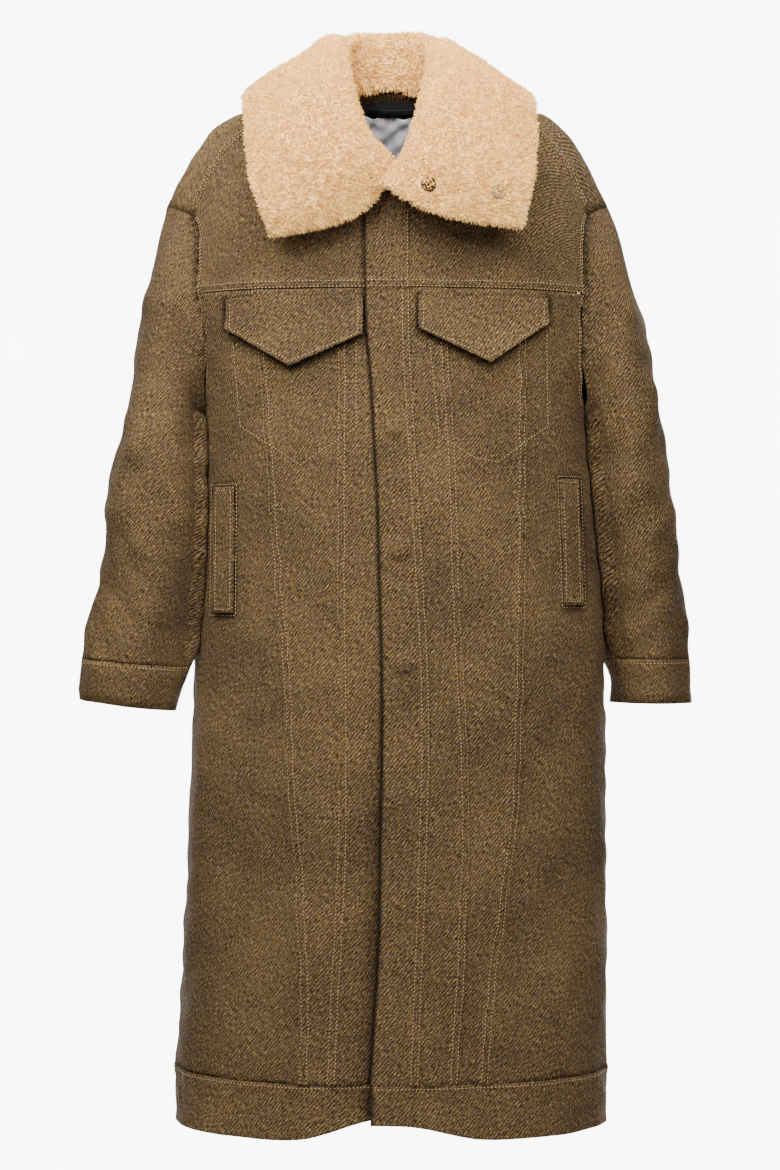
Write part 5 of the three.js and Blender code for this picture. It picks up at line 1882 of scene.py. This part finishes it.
def tuft_nodes() -> bpy.types.NodeTree:
    """Short leaning tufts all over a surface.

    Returns:
        The tree.
    """
    number = "NodeSocketFloat"
    labels = [(label, number) for label in ("Density", "Height", "Width", "Lean")]
    labels.append(("Seed", "NodeSocketInt"))
    tree, start, end = new_nodes("tufts", labels)
    spots = add_node(
        tree,
        "GeometryNodeDistributePointsOnFaces",
        {
            "Mesh": start.outputs["Geometry"],
            "Density": start.outputs["Density"],
            "Seed": start.outputs["Seed"],
        },
    )
    cone = add_node(
        tree,
        "GeometryNodeMeshCone",
        {"Vertices": 3, "Radius Top": 0.0, "Radius Bottom": 0.5, "Depth": 1.0},
        fill_type="NONE",
    )
    low = add_node(tree, "ShaderNodeMath", {0: start.outputs["Lean"], 1: -1.0}, operation="MULTIPLY")
    least = add_node(tree, "ShaderNodeCombineXYZ", {"X": low.outputs[0], "Y": low.outputs[0], "Z": -3.14})
    most = add_node(
        tree, "ShaderNodeCombineXYZ", {"X": start.outputs["Lean"], "Y": start.outputs["Lean"], "Z": 3.14}
    )
    lean = add_node(
        tree,
        "FunctionNodeRandomValue",
        {0: least.outputs[0], 1: most.outputs[0], "Seed": start.outputs["Seed"]},
        data_type="FLOAT_VECTOR",
    )
    turn = add_node(
        tree,
        "FunctionNodeRotateRotation",
        {"Rotation": spots.outputs["Rotation"], "Rotate By": lean.outputs[0]},
        rotation_space="LOCAL",
    )
    size = add_node(
        tree,
        "ShaderNodeCombineXYZ",
        {"X": start.outputs["Width"], "Y": start.outputs["Width"], "Z": start.outputs["Height"]},
    )
    vary = add_node(tree, "FunctionNodeRandomValue", {2: 0.7, 3: 1.25, "Seed": start.outputs["Seed"]})
    scale = add_node(
        tree, "ShaderNodeVectorMath", {0: size.outputs[0], "Scale": vary.outputs[1]}, operation="SCALE"
    )
    placed = add_node(
        tree,
        "GeometryNodeInstanceOnPoints",
        {
            "Points": spots.outputs["Points"],
            "Instance": cone.outputs["Mesh"],
            "Rotation": turn.outputs["Rotation"],
            "Scale": scale.outputs["Vector"],
        },
    )
    close_nodes(tree, end, placed.outputs["Instances"], PILE)
    return tree


# ------------------------------------------------------------------ snaps
class Snaps:
    """The collar's snaps: two ring snaps on its left leaf and two small pins on its right one."""

    SEGMENTS = 48
    FINISHES = {"snap_ring_inner": BRONZE, "snap_ring_outer": NICKEL}
    # Radius and height of each step of a snap's profile, in shares of its radius.
    RING = (
        (1.0, -0.1), (1.0, 0.1), (0.97, 0.2), (0.9, 0.26), (0.8, 0.25), (0.74, 0.16), (0.7, 0.08),
        (0.62, 0.07),
        (0.56, 0.13), (0.5, 0.2), (0.42, 0.21), (0.36, 0.14), (0.33, 0.05), (0.22, 0.03), (0.19, 0.1),
        (0.12, 0.14),
        (0.0, 0.15),
    )
    PIN = ((1.0, -0.2), (1.0, 0.1), (0.85, 0.26), (0.6, 0.24), (0.45, 0.08), (0.2, 0.0), (0.0, 0.0))
    NAMES = ("snap_ring_inner", "snap_ring_outer", "snap_pin_inner", "snap_pin_outer")
    SEAT = 0.0006  # how deep a snap's foot sits in the hide
    CLEARING = 0.0012  # how far the pile keeps away from its rim

    def build(self, hide: bpy.types.Object) -> list[bpy.types.Object]:
        """Turn each snap on the axis of its CAD solid, seated on the finished hide.

        Args:
            hide: The finished collar.

        Returns:
            The snaps.
        """
        made = []
        tree, _ = surface_tree([hide])
        for name in self.NAMES:
            a, b = node_edges(name)
            spots = np.unique(np.round(np.concatenate([a, b]), 6), axis=0)
            middle = spots.mean(axis=0)
            axis = np.linalg.svd(spots - middle)[2][2]
            axis *= -np.sign(axis[1])
            height = (spots - middle) @ axis
            across = np.linalg.norm(spots - middle - height[:, None] * axis, axis=1)
            radius = float(across.max())
            top, _, _, _ = tree.ray_cast(Vector(middle + axis * 0.05), Vector(-axis))
            foot = top - Vector(axis) * self.SEAT
            profile = self.RING if "ring" in name else self.PIN
            piece = self.lathe(name + "_turned", profile, radius, foot, Vector(axis))
            finish_piece(piece, [self.FINISHES.get(name, DARK_PIN)])
            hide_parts(name)
            made.append(piece)
        return made

    def lathe(
        self,
        name: str,
        profile: Sequence[tuple[float, float]],
        radius: float,
        foot: Vector,
        axis: Vector,
    ) -> bpy.types.Object:
        """Turn a profile round an axis.

        Args:
            name: The piece's name.
            profile: Pairs of radius and height in shares of the radius.
            radius: The snap's radius in metres.
            foot: Where the axis meets the pile.
            axis: The way out of the pile.

        Returns:
            The closed snap.
        """
        turn = axis.to_track_quat("Z", "Y")
        places, faces = [], []
        for share, rise in profile[:-1]:
            for i in range(self.SEGMENTS):
                angle = 2 * math.pi * i / self.SEGMENTS
                local = Vector((share * math.cos(angle), share * math.sin(angle), rise)) * radius
                places.append(foot + turn @ local)
        places.append(foot + turn @ Vector((0, 0, profile[-1][1] * radius)))
        count = self.SEGMENTS
        for ring in range(len(profile) - 2):
            for i in range(count):
                j = (i + 1) % count
                low, high = ring * count, (ring + 1) * count
                faces.append((low + i, low + j, high + j, high + i))
        last = (len(profile) - 2) * count
        faces.extend((last + i, last + (i + 1) % count, len(places) - 1) for i in range(count))
        faces.append(tuple(reversed(range(count))))
        mesh = bpy.data.meshes.new(name)
        mesh.from_pydata(places, [], faces)
        piece = bpy.data.objects.new(name, mesh)
        bpy.context.scene.collection.objects.link(piece)
        return piece


# ------------------------------------------------------------------ inside the neck
class NeckInside:
    """What shows inside the back of the neck: dark bands, a loop and a wrinkled satin lining."""

    STRIPS = (
        ("neck_facing", (0.108, 0.03), 3, "dark_band"),
        ("hanger_loop", (0.052, 0.01), 3, "dark_band"),
        ("lining_panel", (0.12, 0.06), 3, "satin_lining"),
        ("lining_band", (0.12, 0.02), 3, "dark_band"),
    )

    SEAT = 0.0022  # how far the strips stand in from where the rounded yoke comes to lie
    CREASED = 0.0019  # how high the satin's wrinkles rise
    FACING_RISE = 0.016  # how far the facing's top edge reaches up behind the collar's pile

    def __init__(self, body: Body) -> None:
        """Seed the lining's wrinkles, and keep the body, whose waves the strips follow."""
        self.body = body
        self.wrinkles = SoftNoise(41, 0.022)

    def plain(self, points: Points) -> Points:
        """How far the smooth strips stand out, which is a little inside the rounded yoke."""
        return self.body.soft(points) - self.SEAT

    def creased(self, points: Points) -> Points:
        """How far the satin stands out, with wrinkles that only rise towards the wearer."""
        return self.plain(points) - self.CREASED * (1.2 - self.wrinkles(points))

    def build(self) -> list[bpy.types.Object]:
        """Make the strips.

        Returns:
            The finished pieces.
        """
        made = []
        for node, flat, levels, slot in self.STRIPS:
            cloth = Cloth(node, flat, levels=levels, rests_on=("back_yoke",))
            piece = refine(cloth)
            lay_map(piece, body_chart(math.pi))
            height = self.creased if slot == "satin_lining" else self.plain
            shape_relief(piece, height, outward)
            if node == "neck_facing":
                places, (low, high) = vertices(piece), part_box(node)
                places[:, 2] += self.FACING_RISE * smoothstep(low.z, high.z, places[:, 2])
                set_vertices(piece, places)
            finish_piece(piece, [SATIN if slot == "satin_lining" else BLACK_BAND])
            declare(cloth)
            made.append(piece)
        return made


# ------------------------------------------------------------------ studio
class Studio:
    """A plain pale floor and backdrop with soft light, and the camera."""

    EYE = Vector((-0.00115, -3.0, -0.55775))
    LENS = 80.27
    SENSOR = 36.0

    def build(self) -> None:
        """Make the stage, the lights and the camera."""
        floor_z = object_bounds()[0].z - 0.45
        self.cove(floor_z)
        self.light("key", (-0.7, -1.1, 0.75), (0, 0, -0.4), 1.0, 53.0)
        self.light("fill", (0.8, -1.3, 0.7), (0, 0, -0.4), 1.2, 36.0)
        self.light("top", (0.0, -0.5, 1.6), (0, 0, -0.4), 1.2, 42.0)
        self.light("wash_left", (-2.4, 1.0, 0.8), (0.4, 4.4, -0.4), 1.8, 850.0)
        self.light("wash_right", (2.4, 1.0, 0.8), (-0.4, 4.4, -0.4), 1.8, 850.0)
        for side in (-1, 1):
            self.flag(side)
        world = bpy.data.worlds.new("studio")
        world.use_nodes = True
        world.node_tree.nodes["Background"].inputs["Color"].default_value = srgb("#f4f4f6")
        world.node_tree.nodes["Background"].inputs["Strength"].default_value = 0.26
        bpy.context.scene.world = world
        camera = bpy.data.objects.new("camera", bpy.data.cameras.new("camera"))
        camera.location = self.EYE
        camera.rotation_euler = (math.radians(90), 0, 0)
        camera.data.lens = self.LENS
        camera.data.sensor_width = self.SENSOR
        camera.data.clip_start, camera.data.clip_end = 0.1, 50.0
        bpy.context.scene.collection.objects.link(camera)
        bpy.context.scene.camera = camera

    def cove(self, floor_z: float) -> None:
        """Make a floor that sweeps up into a backdrop.

        Args:
            floor_z: How high the floor lies.
        """
        depth, radius, height, half = 4.4, 2.2, 6.0, 6.0
        profile = [(-4.0, floor_z), (depth - radius, floor_z)]
        for i in range(1, 13):
            turn = i / 12 * math.pi / 2
            back = depth - radius + radius * math.sin(turn)
            profile.append((back, floor_z + radius * (1 - math.cos(turn))))
        profile.append((depth, floor_z + height))
        places = [(side * half, y, z) for y, z in profile for side in (-1, 1)]
        faces = [(2 * i, 2 * i + 1, 2 * i + 3, 2 * i + 2) for i in range(len(profile) - 1)]
        mesh = bpy.data.meshes.new("cove")
        mesh.from_pydata(places, [], faces)
        mesh.shade_smooth()
        cove = bpy.data.objects.new("cove", mesh)
        bpy.context.scene.collection.objects.link(cove)
        mesh.materials.append(PlainFinish("paper_white", "#fbfbfb", "#f6f6f6", 3.0, 0.9, relief=0.0).build())
        cove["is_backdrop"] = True

    def flag(self, side: int) -> None:
        """Stand a black card beside the coat, out of the picture, so that its side falls off into shade.

        Args:
            side: -1 for the card on the left of the view, 1 for the one on the right.
        """
        x = side * 0.86
        corners = [(x, -0.7, -1.6), (x, 0.7, -1.6), (x, 0.7, 0.4), (x, -0.7, 0.4)]
        mesh = bpy.data.meshes.new("flag")
        mesh.from_pydata(corners, [], [(0, 1, 2, 3)])
        flag = bpy.data.objects.new("flag", mesh)
        bpy.context.scene.collection.objects.link(flag)
        mesh.materials.append(FLAG_BLACK)
        flag.visible_camera = False  # it only takes light away, also in a view from the side
        flag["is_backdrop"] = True

    def light(
        self, name: str, place: Sequence[float], target: Sequence[float], size: float, power: float
    ) -> None:
        """Hang a soft square light that looks at a target.

        Args:
            name: Its name.
            place: Where it stands.
            target: Where it points.
            size: Its side in metres.
            power: Its power in watts.
        """
        data = bpy.data.lights.new(name, "AREA")
        data.size, data.energy = size, power
        lamp = bpy.data.objects.new(name, data)
        lamp.location = place
        lamp.rotation_euler = (Vector(target) - Vector(place)).to_track_quat("-Z", "Y").to_euler()
        bpy.context.scene.collection.objects.link(lamp)


def main() -> None:
    """Build the coat and its studio."""
    logging.basicConfig(level=logging.INFO, format="%(name)s %(message)s")
    body = Body(FoldSizes())
    shell = body.build()
    cloths = shell + Pockets(body).build()
    sleeves = [Sleeve("left", 51), Sleeve("right", 61)]
    for sleeve in sleeves:
        cloths += sleeve.build(shell)
    # Painted shade in the deep seams, beside the lap and under the flaps, laid on every cloth piece.
    shade = PaintedSeamShade(body)
    for piece in cloths:
        shade.lay(piece)
    Topstitching(StitchSizes(), body, cloths).build(sleeves)
    hide = Collar().build()[0]
    Snaps().build(hide)
    NeckInside(body).build()
    Studio().build()


if __name__ == "__main__":
    main()
